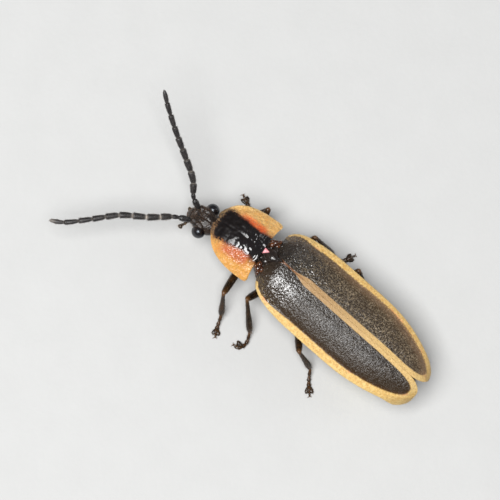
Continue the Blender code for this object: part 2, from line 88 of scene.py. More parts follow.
# Head
HEAD_PLACE = Vector((0.71, -2.93, 1.68))
HEAD_YAW = math.radians(8.5)
EYE_OUT = 0.55
EYE_RADII = Vector((0.27, 0.285, 0.315))
JAW_PATH = ((0.2, -0.5, -0.26), (0.21, -0.62, -0.28), (0.16, -0.72, -0.3), (0.05, -0.79, -0.31),
            (-0.05, -0.81, -0.32))
PALP_PATHS = {
    "left": ((0.2, -0.5, -0.36), (0.36, -0.6, -0.47), (0.52, -0.66, -0.5), (0.62, -0.72, -0.44),
             (0.76, -0.74, -0.36)),
    "right": ((-0.2, -0.48, -0.36), (-0.22, -0.6, -0.46), (-0.19, -0.68, -0.45), (-0.15, -0.75, -0.38),
              (-0.08, -0.84, -0.3)),
}
PALP_PROFILE = np.array((0.35, 0.75, 0.9, 0.95, 1.0, 1.05, 1.05, 0.9, 0.45))
INNER_PALP_WIDTHS = np.array((0.6, 0.9, 1.0, 0.7, 1.0, 1.2, 1.1, 0.5)) * 0.04

# Underside: rings as back, half width, top and bottom, and creases as lines by back and height
FORE_THORAX = (
    (-2.1, 0.4, 1.95, 1.42), (-1.85, 0.62, 2.05, 1.28), (-1.4, 0.82, 2.2, 1.12),
    (-0.9, 0.9, 2.3, 1.05), (-0.45, 0.86, 2.3, 1.1), (-0.12, 0.66, 2.2, 1.25))
REAR_THORAX = (
    (-0.42, 0.5, 2.3, 1.35), (-0.26, 0.62, 2.42, 1.25), (-0.1, 0.8, 2.45, 1.15), (0.3, 1.04, 2.4, 0.98),
    (0.9, 1.16, 2.34, 0.88), (1.8, 1.32, 2.32, 0.84), (2.5, 1.36, 2.28, 0.86), (2.9, 1.34, 2.2, 0.95),
    (3.12, 1.24, 2.1, 1.05))
THORAX_CREASES = (
    ((-1.95, 1.72), (-0.2, 1.78)), ((-0.98, 1.1), (-0.62, 1.75)), ((0.66, 1.0), (1.02, 2.3)),
    ((0.02, 2.15), (0.5, 1.05)), ((0.95, 2.0), (3.1, 1.9)), ((0.85, 1.5), (2.62, 1.62)),
    ((2.45, 0.9), (2.72, 1.62)), ((2.62, 1.62), (3.1, 1.66)))
SCUTELLUM_RINGS = (
    (-0.3, 0.16, 2.6, 2.35), (-0.12, 0.27, 2.72, 2.35), (0.1, 0.28, 2.82, 2.35),
    (0.32, 0.17, 2.81, 2.4), (0.5, 0.07, 2.77, 2.45), (0.58, 0.02, 2.74, 2.5))
KNOBS = (
    (-0.17, -0.06, 2.5, (0.13, 0.12, 0.12)), (-0.06, 0.14, 2.46, (0.13, 0.1, 0.12)),
    (0.14, 0.09, 2.4, (0.12, 0.09, 0.12)), (-0.02, -0.15, 2.42, (0.11, 0.07, 0.1)))
BASE_SKIN_CORNERS = np.array(((0.03, -0.43, 2.72), (0.31, -0.32, 2.7), (0.06, -0.1, 2.74)))
BASE_SKIN_RINGS = ((1.0, -0.16), (1.0, -0.03), (0.93, 0.0), (0.7, 0.014), (0.35, 0.02))
ABDOMEN_FRONT = 3.2
ABDOMEN_MIDDLE = 1.5
ABDOMEN_HALF_WIDTH = 1.42

# Feelers
ANTENNA_PATHS = {
    "left": ((1.18, -3.42, 1.95), (1.61, -4.04, 2.15), (2.35, -4.76, 2.26), (3.11, -5.67, 2.3),
             (4.01, -6.38, 2.27), (4.88, -7.09, 2.19), (5.28, -7.63, 2.13)),
    "right": ((0.55, -3.5, 1.95), (0.42, -3.98, 2.34), (-0.02, -4.49, 2.77), (-0.39, -5.38, 3.3),
              (-0.73, -6.3, 3.83), (-1.12, -7.21, 4.36), (-1.41, -7.78, 4.7)),
}
ANTENNA_SHARES = (0.085, 0.05, 0.08, 0.1, 0.1, 0.093, 0.097, 0.093, 0.097, 0.1, 0.105)
ANTENNA_SET = {"left": (0.0, 0.03, -0.02), "right": (0.05, 0.02, -0.04)}
ANTENNA_RADIUS = 0.12
ANTENNA_TIP_RADIUS = 0.085
ANTENNA_FULLNESS = 1.15
PALE_RINGS = (0.0, 0.0, 0.3, 1.0, 1.0, 0.55, 0.35, 0.2, 0.15, 0.1, 0.1)
SEGMENT_SHARES = np.array((0.0, 0.04, 0.09, 0.17, 0.3, 0.5, 0.65, 0.8, 0.9, 0.955, 0.985, 1.0))
SEGMENT_SWELL = np.array((0.5, 0.62, 0.7, 0.84, 0.93, 0.97, 1.0, 1.03, 1.04, 0.97, 0.8, 0.5))

# Legs: root of the coxa, hip, knee, ankle and the foot's path on the floor
LEGS = {
    "fore_left": ((0.68, -0.9, 1.17), (0.76, -0.6, 0.8), (2.39, -0.35, 1.5), (2.88, 0.2, 0.42),
                  ((3.3, 0.42), (3.66, 0.63))),
    "mid_left": ((0.47, 0.75, 0.95), (0.72, 0.8, 0.58), (1.91, 0.52, 1.6), (2.59, 1.56, 0.42),
                 ((2.95, 1.75), (3.27, 1.68), (3.38, 1.42))),
    "hind_left": ((0.47, 2.4, 0.9), (0.85, 2.72, 0.6), (2.01, 3.59, 1.45), (1.95, 4.4, 0.42),
                  ((2.35, 4.76), (2.76, 5.17))),
    "fore_right": ((-0.19, -1.27, 1.17), (-0.26, -1.0, 0.72), (-1.57, -1.37, 1.45), (-1.16, -1.6, 0.42),
                   ((-1.42, -2.12), (-1.58, -2.52))),
    "mid_right": ((-0.47, 0.75, 0.95), (-0.72, 0.8, 0.58), (-2.01, 0.85, 1.6), (-2.26, 1.95, 0.42),
                  ((-2.4, 2.36), (-2.95, 2.6))),
    "hind_right": ((-0.47, 2.4, 0.9), (-0.85, 2.72, 0.6), (-2.3, 3.13, 1.4), (-1.95, 4.2, 0.42),
                   ((-1.88, 4.7), (-1.8, 5.25))),
}
FEMUR_WIDTHS = (0.1, 0.145, 0.165, 0.16, 0.145, 0.1)
TIBIA_WIDTHS = (0.068, 0.08, 0.092, 0.11, 0.132, 0.138, 0.09)
TARSUS_SHARES = (0.0, 0.3, 0.5, 0.67, 0.82, 1.04)
TARSUS_WIDTHS = (0.072, 0.084, 0.096, 0.095, 0.045)
TARSUS_PROFILE = np.array((0.5, 0.68, 0.75, 0.8, 0.87, 0.94, 1.02, 1.07, 0.98, 0.55))
CLAW_PATH = ((0.0, 0.0), (0.05, 0.045), (0.07, 0.1))
LOBE_WIDTHS = (0.055, 0.066, 0.074, 0.08, 0.086, 0.086, 0.08, 0.06, 0.022)

# Hairs: the faces of one spike and where its points lie in its patch of the unwrap
HAIR_QUADS = np.array(((0, 1, 4, 3), (1, 2, 5, 4), (2, 0, 3, 5)))
HAIR_TRIANGLES = np.array(((3, 4, 6), (4, 5, 6), (5, 3, 6)))
HAIR_PATCH = np.array(((-1, -1), (1, -1), (0, 1), (-0.8, -0.6), (0.8, -0.6), (0, 0.8), (0, 0))) * 0.0015
HAIR_TIPS = (0.0, 0.0, 0.0, 0.6, 0.6, 0.6, 1.0)
FLOOR_CLEAR = 0.004

# Camera: the photograph's view of the scutellum, from almost straight above
VIEW_TILT = math.radians(13.5)
VIEW_TURN = math.atan2(0.732, 0.682)
VIEW_WIDTH = 20.58
VIEW_DISTANCE = 200.0
SENSOR = 36.0
SCUTELLUM = Vector((0.17, 0.0, 2.7))
SCUTELLUM_RIGHT = 0.823
SCUTELLUM_DOWN = 0.247

# Floor and lights, in metres: direction, distance, size and power
FLOOR_REACH = 0.6
LIGHTS = {"key": ((0.34, -0.09, 0.94), 0.25, 0.14, 0.86), "rim": ((-0.7, 0.5, 0.5), 0.3, 0.12, 0.1)}
SURROUND = (0.92, 0.95, 1.0, 1.0)
SURROUND_STRENGTH = 0.18

# Colours
CHARCOAL = (0.01, 0.009, 0.009)
CHARCOAL_LIGHT = (0.026, 0.022, 0.02)
CHARCOAL_BROWN = (0.07, 0.04, 0.016)
# The grey grain colour of the left wing case is partly painted sheen.
GRAIN_AND_SHEEN = (0.31, 0.28, 0.24)
GRANULE_BROWN = (0.4, 0.31, 0.2)
HALO = (0.06, 0.024, 0.007)
HALO_BROWN = (0.34, 0.2, 0.11)
TAN = (0.66, 0.38, 0.1)
TAN_PALE = (0.8, 0.55, 0.2)
TAN_EDGE = (0.84, 0.62, 0.26)
TAN_DEEP = (0.4, 0.21, 0.06)
TAN_PINK = (0.8, 0.3, 0.17)
# Painted shade on the downturned tips of the wing cases
TAN_TIP_SHADE = (0.4, 0.29, 0.11)
TAN_SEAM = (0.7, 0.48, 0.19)
TAN_SEAM_FRONT = (0.42, 0.26, 0.12)
SEAM_LINE = (0.26, 0.1, 0.035)
BLACK = (0.009, 0.007, 0.007)
ORANGE_RED = (0.72, 0.11, 0.018)
SALMON = (0.52, 0.12, 0.035)


def frame_shift():
    """Where the insect's frame is, read from the abdomen's box."""
    low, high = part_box("abdomen")
    return Vector((0.5 * (low[0] + high[0]), low[1] - ABDOMEN_FRONT * MM, 0.0))


def set_at(place, yaw):
    """From a turned part's own frame to the insect's."""
    return Matrix.Translation(place) @ Matrix.Rotation(yaw, 4, "Z")


SHIFT = frame_shift()
TO_WORLD = Matrix.Translation(SHIFT) @ Matrix.Scale(MM, 4)
ELYTRA_FRAME = set_at(ELYTRA_PLACE, ELYTRA_YAW)
PRONOTUM_FRAME = set_at(PRONOTUM_BASE, PRONOTUM_YAW)
HEAD_FRAME = set_at(HEAD_PLACE, HEAD_YAW)
HEAD_TURN = Matrix.Rotation(HEAD_YAW, 4, "Z")
RANDOM = np.random.default_rng(SEED)


def smoothstep(low, high, value):
    """Rises from 0 at low to 1 at high with level ends, for numbers or arrays."""
    share = np.clip((value - low) / (high - low), 0.0, 1.0)
    return share * share * (3.0 - 2.0 * share)


def bell(value, centre, width):
    """One at the centre and fading to both sides, for numbers or arrays."""
    return np.exp(-((value - centre) / width) ** 2)


def unit(vectors):
    """Vectors of length one, along the last axis."""
    size = np.linalg.norm(vectors, axis=-1, keepdims=True)
    return vectors / np.maximum(size, 1e-12)


def full_turn(sides):
    """Angles spread evenly around a ring."""
    return np.linspace(0.0, 2.0 * np.pi, sides, endpoint=False)


def grid_places(across, ahead):
    """Places on an unwrap for rows of points."""
    return np.stack(np.broadcast_arrays(across[None], ahead[:, None]), -1).reshape(-1, 2)


def ring_faces(rows, sides, capped=False):
    """Faces between rings of points, with a flat face at both ends if capped."""
    index = np.arange(rows * sides).reshape(rows, sides)
    after = np.roll(index, -1, axis=1)
    faces = np.stack((index[:-1], index[1:], after[1:], after[:-1]), -1).reshape(-1, 4).tolist()
    if capped:
        faces += [index[0].tolist(), index[-1, ::-1].tolist()]
    return faces


def linked(name, data):
    """A new object in the scene."""
    obj = bpy.data.objects.new(name, data)
    bpy.context.scene.collection.objects.link(obj)
    return obj


def carry(mesh, name, numbers):
    """Gives a mesh a named value at each point."""
    layer = mesh.attributes.new(name, "FLOAT", "POINT")
    layer.data.foreach_set("value", np.asarray(numbers, np.float32))


class Shape:
    """Points, faces, a place for each point on an unwrap, and named values for the materials."""

    def __init__(self):
        self.points = []
        self.faces = []
        self.unwrap = []
        self.lies = []
        self.values = {}
        self.count = 0

    def add(self, points, faces, unwrap, lie=(0.0, 1.0, 0.0), **values):
        """Adds points and faces in a cell of the unwrap. Hairs on them lean towards lie."""
        points = np.asarray(points, float).reshape(-1, 3)
        number = len(self.points)
        cell = np.array((number % 8, number // 8 % 8), float)
        self.unwrap.append((np.asarray(unwrap, float) * 0.92 + 0.04 + cell) / 8.0)
        self.points.append(points)
        self.lies.append(np.broadcast_to(lie, points.shape))
        self.faces.extend(tuple(int(i) + self.count for i in face) for face in faces)
        for name, value in values.items():
            self.values.setdefault(name, []).append(np.broadcast_to(value, (len(points),)))
        self.count += len(points)
        return self

    def add_rings(self, rings, lie=(0.0, 1.0, 0.0), **values):
        """Adds rings of points as a closed run, with a value for each ring."""
        rows, sides = rings.shape[:2]
        unwrap = grid_places(full_turn(sides) / (2.0 * np.pi), np.linspace(0.0, 1.0, rows))
        spread = {name: np.repeat(np.broadcast_to(value, (rows,)), sides) for name, value in values.items()}
        return self.add(rings, ring_faces(rows, sides, True), unwrap, lie, **spread)

    def tube(self, path, radii, sides=16, flat=1.0, **values):
        """A round or flattened tube through points."""
        path = np.asarray(path, float)
        tangent = unit(np.gradient(path, axis=0))
        side = unit(np.cross(tangent, (0.0, 0.0, 1.0)))
        rise = np.cross(side, tangent)
        turn = full_turn(sides)[None, :, None]
        ring = np.cos(turn) * side[:, None] + flat * np.sin(turn) * rise[:, None]
        rings = path[:, None] + ring * np.asarray(radii, float)[:, None, None]
        return self.add_rings(rings, np.repeat(tangent, sides, 0), **values)

    def ellipsoid(self, centre, radii, turn, sides=20, rings=12):
        """A stretched sphere."""
        angle = np.linspace(0.0, np.pi, rings + 1)[1:-1, None]
        around = full_turn(sides)
        ball = np.stack(np.broadcast_arrays(
            np.sin(angle) * np.cos(around), np.sin(angle) * np.sin(around), np.cos(angle)), -1)
        ball = np.vstack((ball.reshape(-1, 3), (0.0, 0.0, 1.0), (0.0, 0.0, -1.0))) * np.asarray(radii, float)
        ball = ball @ np.array(turn.to_3x3()).T
        faces = ring_faces(rings - 1, sides)
        last, top = (rings - 2) * sides, (rings - 1) * sides
        for k in range(sides):
            after = (k + 1) % sides
            faces += [(top, k, after), (top + 1, last + after, last + k)]
        unwrap = grid_places(around / (2.0 * np.pi), angle[:, 0] / np.pi)
        unwrap = np.vstack((unwrap, (0.5, 0.0), (0.5, 1.0)))
        return self.add(ball + np.asarray(centre, float), faces, unwrap)

    def arrays(self):
        """All points, unwrap places and hair directions as arrays."""
        return np.vstack(self.points), np.vstack(self.unwrap), np.vstack(self.lies)

    def object(self, name, surface):
        """A smooth mesh object in the insect's frame, still in millimetres."""
        mesh = bpy.data.meshes.new(name)
        mesh.from_pydata(self.arrays()[0].tolist(), [], self.faces)
        for key, parts in self.values.items():
            carry(mesh, key, np.concatenate(parts))
        mesh.update()
        mesh.materials.append(surface)
        mesh.shade_smooth()
        return linked(name, mesh)


def finished(obj, slot, *nodes):
    """Brings a piece to metres, sets it on the body and hides the solids it stands for."""
    obj.data.transform(TO_WORLD)
    obj.data.update()
    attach(obj, "root")
    if nodes:
        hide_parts(*nodes)
    return obj


def smooth_path(points, steps, straight_ends=True):
    """A smooth curve through points, with a few steps between each two of them."""
    points = np.array([tuple(point) for point in points], float)
    first, last = points[0], points[-1]
    if straight_ends:
        first, last = 2 * first - points[1], 2 * last - points[-2]
    ends = [first, *points, last]
    path = [points[0]]
    for before, start, end, after in zip(ends, ends[1:], ends[2:], ends[3:]):
        for step in range(1, steps + 1):
            share = step / steps
            lead = 2 * before - 5 * start + 4 * end - after
            turn = 3 * start - before - 3 * end + after
            path.append(start + 0.5 * share * ((end - before) + share * (lead + share * turn)))
    return np.array(path)


def along(path, distances):
    """The points of a path at distances from its start."""
    steps = np.linalg.norm(np.diff(path, axis=0), axis=1)
    marks = np.concatenate(((0.0,), np.cumsum(steps)))
    return np.stack([np.interp(distances, marks, path[:, axis]) for axis in range(3)], -1)


def moved(points, matrix):
    """Points taken through a matrix."""
    matrix = np.array(matrix)
    return points @ matrix[:3, :3].T + matrix[:3, 3]


def length_of(path):
    """The length of a path."""
    return float(np.linalg.norm(np.diff(path, axis=0), axis=1).sum())


# Materials


class Value:
    """A number or colour in a node tree. Arithmetic on it adds math nodes."""

    def __init__(self, nodes, socket):
        self.nodes = nodes
        self.socket = socket

    def __add__(self, other):
        return self.nodes.math("ADD", self, other)

    def __sub__(self, other):
        return self.nodes.math("SUBTRACT", self, other)

    def __rsub__(self, other):
        return self.nodes.math("SUBTRACT", other, self)

    def __mul__(self, other):
        return self.nodes.math("MULTIPLY", self, other)

    def __truediv__(self, other):
        return self.nodes.math("DIVIDE", self, other)

    def __pow__(self, other):
        return self.nodes.math("POWER", self, other)

    def __abs__(self):
        return self.nodes.math("ABSOLUTE", self, 0.0)

    def most(self, other):
        """The larger of two numbers."""
        return self.nodes.math("MAXIMUM", self, other)

    def step(self, low, high, start=0.0, end=1.0):
        """Maps low to high smoothly onto start to end."""
        inputs = {"Value": self, "From Min": low, "From Max": high, "To Min": start, "To Max": end}
        return self.nodes.made("ShaderNodeMapRange", 0, inputs, interpolation_type="SMOOTHSTEP")


class Nodes:
    """Short calls for building a material's node tree. Lengths in it are in millimetres."""

    def __init__(self, name):
        self.material = bpy.data.materials.new(name)
        self.material.use_nodes = True
        self.tree = self.material.node_tree
        self.shader = self.tree.nodes["Principled BSDF"]

    def link(self, source, target):
        """Joins a value to a socket, or sets the socket if the source is plain."""
        if isinstance(source, Value):
            self.tree.links.new(source.socket, target)
        elif target.type == "RGBA":
            target.default_value = (*source, 1.0)
        else:
            target.default_value = source

    def made(self, kind, output, inputs, **settings):
        """What a new node gives, with its inputs and settings."""
        node = self.tree.nodes.new(kind)
        for key, value in settings.items():
            setattr(node, key, value)
        for key, source in inputs.items():
            self.link(source, node.inputs[key])
        return Value(self, node.outputs[output])

    def place(self):
        """Object coordinates in millimetres."""
        inputs = {0: self.made("ShaderNodeTexCoord", "Object", {}), "Scale": 1.0 / MM}
        return self.made("ShaderNodeVectorMath", 0, inputs, operation="SCALE")

    def value(self, name):
        """A named value that the mesh carries."""
        return self.made("ShaderNodeAttribute", "Fac", {}, attribute_name=name)

    def math(self, operation, first, second):
        """One sum on two numbers."""
        return self.made("ShaderNodeMath", 0, {0: first, 1: second}, operation=operation)

    def noise(self, scale, detail=3.0, roughness=0.55):
        """Noise with a scale in features for each millimetre."""
        inputs = {"Vector": self.place(), "Scale": scale, "Detail": detail, "Roughness": roughness}
        return self.made("ShaderNodeTexNoise", "Fac", inputs)

    def cells(self, scale, randomness=1.0):
        """Distances in a cell pattern with a scale in cells for each millimetre."""
        inputs = {"Vector": self.place(), "Scale": scale, "Randomness": randomness}
        return self.made("ShaderNodeTexVoronoi", "Distance", inputs)

    def mix(self, share, first, second):
        """Two colours mixed by a share."""
        inputs = {"Factor": share, "A": first, "B": second}
        return self.made("ShaderNodeMix", "Result", inputs, data_type="RGBA")

    def layered(self, base, *layers):
        """A base colour with others laid over it, each by its share."""
        for share, colour in layers:
            base = self.mix(share, base, colour)
        return base

    def set(self, **values):
        """Sets or joins the shader's own sockets."""
        for key, value in values.items():
            self.link(value, self.shader.inputs[key.replace("_", " ")])

    def crease(self, start, end, width=0.07):
        """One along a straight line on the body's side, given by back and height, and zero elsewhere."""
        back, rise = (self.made("ShaderNodeSeparateXYZ", axis, {0: self.place()}) for axis in "YZ")
        back, rise = back - (start[0] + SHIFT.y / MM), rise - start[1]
        reach = math.dist(start, end)
        run, climb = (end[0] - start[0]) / reach, (end[1] - start[1]) / reach
        forward = back * run + rise * climb
        near = abs(back * climb - rise * run).step(0.0, width, 1.0, 0.0)
        return near * (forward.step(-0.04, 0.04) * forward.step(reach - 0.04, reach + 0.04, 1.0, 0.0))

    def bump(self, *layers):
        """Adds bumps, each a height and how deep it is, and gives the finished material."""
        before = {}
        for height, depth in layers:
            inputs = {"Strength": 1.0, "Distance": depth * MM, "Height": height, **before}
            before = {"Normal": self.made("ShaderNodeBump", 0, inputs)}
        self.set(Normal=before["Normal"], Coat_Normal=before["Normal"])
        return self.material


def wing_case_material():
    """Charcoal with pale grains that are partly painted sparkle and sheen, tan margins and a tan stripe along
    the seam.
    """
    n = Nodes("wing_case")
    edge, seam, back, right = n.value("edge"), n.value("seam"), n.value("back"), n.value("right")
    fine = n.noise(17.0, 2.0, 0.7)
    coarse = n.noise(13.0, 2.0, 0.6).step(0.53, 0.64)
    waver = (n.noise(3.5, 5.0, 0.65) - 0.5) * 0.06
    edge_wavy = edge + (waver + (fine - 0.5) * (right * 0.16 + 0.05))
    seam_wavy = seam + waver * 0.35
    width = back.step(0.2, 2.6 - right * 1.3, 0.09, 0.3) - right * back.step(2.4, 5.0, 0.0, 0.07)
    stripe_width = back.step(1.0, 1.9, 0.012, 0.185) + back.step(6.9, 8.0, 0.0, 0.07)
    near_edge = (edge_wavy / width).most(0.1) ** -4.0
    near_seam = (seam_wavy / stripe_width).most(0.1) ** -4.0 * back.step(0.95, 1.35)
    pale = (near_edge + near_seam).step(0.6, 1.55)

    outward = edge.step(0.3, 1.35, 1.0, 0.0)
    # Pale grains, partly real and partly painted sheen: on the left case they thin out towards the outer
    # side, where the sheen fades, and on both cases they thin out towards the front slope as painted shade.
    grain = (right * coarse).most(fine.step(0.52, 0.64, 0.0, 0.85))
    grain = grain * n.noise(2.2, 3.0).step(0.3, 0.65, 0.2, 0.6) * (right * 0.15 + 1.0)
    grain = grain * back.step(0.4, 2.2, 0.05, 1.0) * (1.0 - outward * (0.85 - right * 0.75))
    halo = edge_wavy.step(width, width + (right * 0.32 + 0.15), 1.0, 0.0)
    halo = halo * (0.8 - right * 0.3) * back.step(1.0, 4.0, 0.3, 1.0)
    dark = n.layered(
        n.mix(n.noise(5.0, 5.0, 0.65).step(0.35, 0.7), CHARCOAL, CHARCOAL_LIGHT),
        ((outward * 0.5 + 0.25) * (right * 0.4 + 0.6), CHARCOAL_BROWN),
        # Painted shade: the right case's charcoal deepens towards its front slope.
        (right * back.step(1.0, 4.0, 0.75, 0.0), CHARCOAL),
        (grain, n.mix(right, GRAIN_AND_SHEEN, GRANULE_BROWN)),
        (halo + halo * coarse * (right * 0.6), n.mix(right, HALO, HALO_BROWN)))

    seam_tan = n.layered(
        n.mix(back.step(2.0, 7.0), TAN_SEAM_FRONT, TAN_SEAM),
        (fine.step(0.5, 0.66, 0.0, 0.42), TAN_DEEP),
        (coarse * 0.4, TAN_DEEP))
    tan = n.layered(
        n.mix(n.noise(6.0, 4.0).step(0.3, 0.75), TAN, TAN_PALE),
        (fine.step(0.52, 0.68, 0.0, 0.22), TAN_DEEP),
        (coarse * 0.5, TAN_DEEP),
        (n.noise(9.0, 3.0, 0.7).step(0.5, 0.6, 0.0, 0.6), TAN_EDGE),
        (n.noise(21.0, 2.0, 0.7).step(0.55, 0.68, 0.0, 0.6), TAN_EDGE),
        (edge.step(0.0, 0.1, 0.6, 0.0), TAN_EDGE),
        (n.noise(1.6, 3.0).step(0.55, 0.68, 0.0, 0.6) * edge_wavy.step(width - 0.1, width), TAN_PINK),
        (seam.step(0.2, 0.3, 1.0, 0.0) * edge.step(0.15, 0.3), seam_tan),
        # Painted shade: the tan darkens towards the tips, where they curve down.
        (back.step(7.4, 8.25, 0.0, 0.5), TAN_TIP_SHADE))
    thin_line = seam.step(0.02, 0.05, 1.0, 0.0) * back.step(0.35, 0.6) * back.step(1.3, 1.8, 0.75, 0.0)
    gloss = back.step(0.8, 2.3, 1.15, 0.0) + back.step(4.0, 8.0, 0.45, 0.3)
    gloss = gloss * edge.step(0.4, 1.15, 0.45, 1.0) * (seam + back.step(1.0, 3.0)).step(0.15, 0.7, 0.3, 1.0)
    n.set(Base_Color=n.layered(dark, (pale, tan), (thin_line, SEAM_LINE)),
          Specular_IOR_Level=gloss.most(pale * 0.3), Roughness=pale.step(0.0, 1.0, 0.17, 0.5))
    shoulder = n.noise(9.0, 1.0, 0.5) * back.step(1.4, 3.2, 1.0, 0.4)
    dust = n.noise(19.0, 1.0, 0.5) * back.step(1.2, 2.8, 0.35, 1.0)
    wrinkles = n.noise(6.0, 3.0, 0.6) * back.step(0.4, 1.6, 1.0, 0.0)
    return n.bump((shoulder, 0.055), (dust, 0.026), (n.noise(4.0, 2.0, 0.5), 0.012), (wrinkles, 0.05))


def shield_material():
    """Tan margins, a glossy black band down the middle and orange-red beside it."""
    n = Nodes("shield")
    across, ahead, rim = n.value("across"), n.value("ahead"), n.value("rim")
    left = across.step(-0.2, 0.3)
    fine = n.noise(17.0, 2.0, 0.7)
    waver = (n.noise(2.6, 5.0, 0.62) - 0.5) * 0.24
    crumbs = (fine - 0.5) * (ahead.step(1.45, 2.05) * 0.55 + 0.08)
    side = abs(across) + (waver + crumbs)
    front = (rim + (waver * 0.4 + crumbs * 0.6)).step(0.04, 0.17)
    band_half = ahead.step(0.9, 2.1, 0.55, 0.68) + ahead.step(0.2, 0.6, 0.08, 0.0)
    band = side.step(band_half - 0.07, band_half + 0.06, 1.0, 0.0) * front
    reach = left * 0.2 + 0.88
    glow = side.step(reach - 0.2, reach + 0.1, 1.0, 0.0)
    glow = glow * ahead.step(1.45, 2.0, 1.0, 0.0) * ahead.step(0.3, 0.65)
    red = n.mix(left, ORANGE_RED, SALMON)
    red = n.mix(n.noise(4.0, 4.0).step(0.45, 0.75, 0.0, 0.35), red, (0.74, 0.34, 0.12))
    edge_brown = side.step(band_half - 0.02, band_half + ahead.step(0.3, 0.7, 0.3, 0.16), 0.85, 0.0)
    far = ahead.step(1.75, 2.05)
    smoky = (far - side.step(0.55, 0.95) * far) * fine.step(0.4, 0.6, 0.75, 1.0)
    n.set(Base_Color=n.layered(
        n.mix(n.noise(5.0, 4.0).step(0.3, 0.72), (0.68, 0.35, 0.09), (0.78, 0.48, 0.17)),
        (fine.step(0.5, 0.68, 0.0, 0.45), (0.42, 0.19, 0.045)),
        (n.noise(21.0, 2.0, 0.7).step(0.55, 0.68, 0.0, 0.5), (0.86, 0.62, 0.3)),
        (rim.step(0.0, 0.12, 0.5, 0.0), (0.8, 0.58, 0.27)),
        (left * 0.66, (0.66, 0.28, 0.035)),
        (glow, red),
        (edge_brown * front, (0.12, 0.02, 0.006)),
        (smoky, (0.055, 0.032, 0.022)),
        (band, BLACK)))
    coat = across.step(0.1, 0.45, 0.0, 0.8) * ahead.step(1.2, 1.9, 1.0, 0.0)
    n.set(Specular_IOR_Level=0.5 - band * ahead.step(1.0, 1.6) * 0.4,
          Roughness=band.step(0.0, 1.0, 0.42, 0.15) + ahead.step(1.0, 1.7, 0.0, 0.3),
          Coat_Weight=coat * across.step(0.85, 1.15, 1.0, 0.1), Coat_Roughness=0.1,
          Subsurface_Weight=0.1, Subsurface_Scale=0.0002, Subsurface_Radius=(1.0, 0.4, 0.15))
    grainy = n.cells(12.0) * band.step(0.0, 1.0, 1.0, 0.06)
    return n.bump((grainy, 0.022), (n.noise(20.0, 3.0, 0.6), 0.0015), (n.noise(3.2, 1.0, 0.5), 0.11))


def plate_material(name, first, second, roughness, pit_depth=0.012, coat=0.0):
    """A hard glossy plate with fine pits and a mottled colour."""
    n = Nodes(name)
    n.set(Base_Color=n.mix(n.noise(4.0, 5.0, 0.6).step(0.35, 0.7), first, second),
          Roughness=n.noise(9.0, 3.0).step(0.3, 0.7, roughness * 0.8, roughness * 1.25),
          Specular_IOR_Level=0.5, Coat_Weight=coat, Coat_Roughness=0.15)
    return n.bump((n.cells(16.0), pit_depth), (n.noise(30.0, 3.0), pit_depth * 0.6))


def leg_material():
    """Dark brown legs with amber tints, paler at the joints."""
    n = Nodes("leg")
    dark = n.mix(n.noise(3.5, 4.0).step(0.35, 0.7), (0.014, 0.008, 0.004), (0.04, 0.018, 0.006))
    n.set(Base_Color=n.mix(n.value("pale"), dark, (0.26, 0.11, 0.03)), Roughness=0.26, Specular_IOR_Level=0.5)
    return n.bump((n.noise(22.0, 3.0, 0.6), 0.008), (n.cells(14.0), 0.006))


def feeler_material():
    """Dark grey-brown downy segments with pale rings at the joints."""
    n = Nodes("feeler")
    dark = n.mix(n.noise(6.0, 4.0).step(0.35, 0.7), (0.01, 0.009, 0.009), (0.03, 0.026, 0.026))
    n.set(Base_Color=n.mix(n.value("pale"), dark, (0.72, 0.64, 0.56)), Roughness=n.value("rough"))
    return n.bump((n.noise(26.0, 3.0, 0.6), 0.01), (n.cells(20.0), 0.006))


def eye_material():
    """Glossy black with a fine net of facets."""
    n = Nodes("eye")
    n.set(Base_Color=n.mix(n.noise(3.0, 3.0).step(0.4, 0.7), (0.004, 0.004, 0.005), (0.014, 0.008, 0.006)),
          Roughness=0.24, Specular_IOR_Level=0.7, Specular_Tint=(0.82, 0.9, 1.0))
    return n.bump((n.cells(46.0, 0.35), 0.0025))


def belly_material(name="belly", creases=()):
    """Dark brown plates of the underside, with paler skin between them and creases at plate edges."""
    n = Nodes(name)
    dark = n.mix(n.noise(3.0, 5.0, 0.6).step(0.35, 0.7), (0.03, 0.017, 0.011), (0.07, 0.038, 0.022))
    folds = 0.0
    for start, end in creases:
        folds = n.crease(start, end).most(folds)
    dark = n.mix(folds * 0.7, dark, (0.008, 0.005, 0.004))
    n.set(Base_Color=n.mix(n.value("pale"), dark, (0.42, 0.25, 0.14)), Roughness=0.4, Specular_IOR_Level=0.5)
    return n.bump((1.0 - folds, 0.06), (n.noise(20.0, 3.0, 0.6), 0.012), (n.cells(12.0), 0.014))


def lantern_material():
    """The waxy pale light organ."""
    n = Nodes("lantern")
    n.set(Base_Color=n.mix(n.noise(4.0, 5.0, 0.6).step(0.3, 0.75), (0.8, 0.74, 0.42), (0.88, 0.84, 0.6)),
          Roughness=0.38, Specular_IOR_Level=0.45,
          Subsurface_Weight=0.4, Subsurface_Scale=0.0003, Subsurface_Radius=(1.0, 0.8, 0.35))
    return n.bump((n.noise(14.0, 3.0, 0.6), 0.01), (n.cells(9.0), 0.008))


def hair_material(name, root, tip, roughness=0.35):
    """Fine hairs that lighten to their tips."""
    n = Nodes(name)
    shade = n.value("tip") + n.noise(5.0, 2.0) * 0.3
    n.set(Base_Color=n.mix(shade.step(0.1, 1.1), root, tip), Roughness=roughness, Specular_IOR_Level=0.7)
    return n.material


def floor_material():
    """A pale matt board with a very faint grain."""
    n = Nodes("floor")
    n.set(Base_Color=n.mix(n.noise(0.6, 4.0), (0.55, 0.55, 0.54), (0.59, 0.59, 0.58)), Roughness=0.7)
    return n.bump((n.noise(4.0, 3.0), 0.01))


# Wing cases


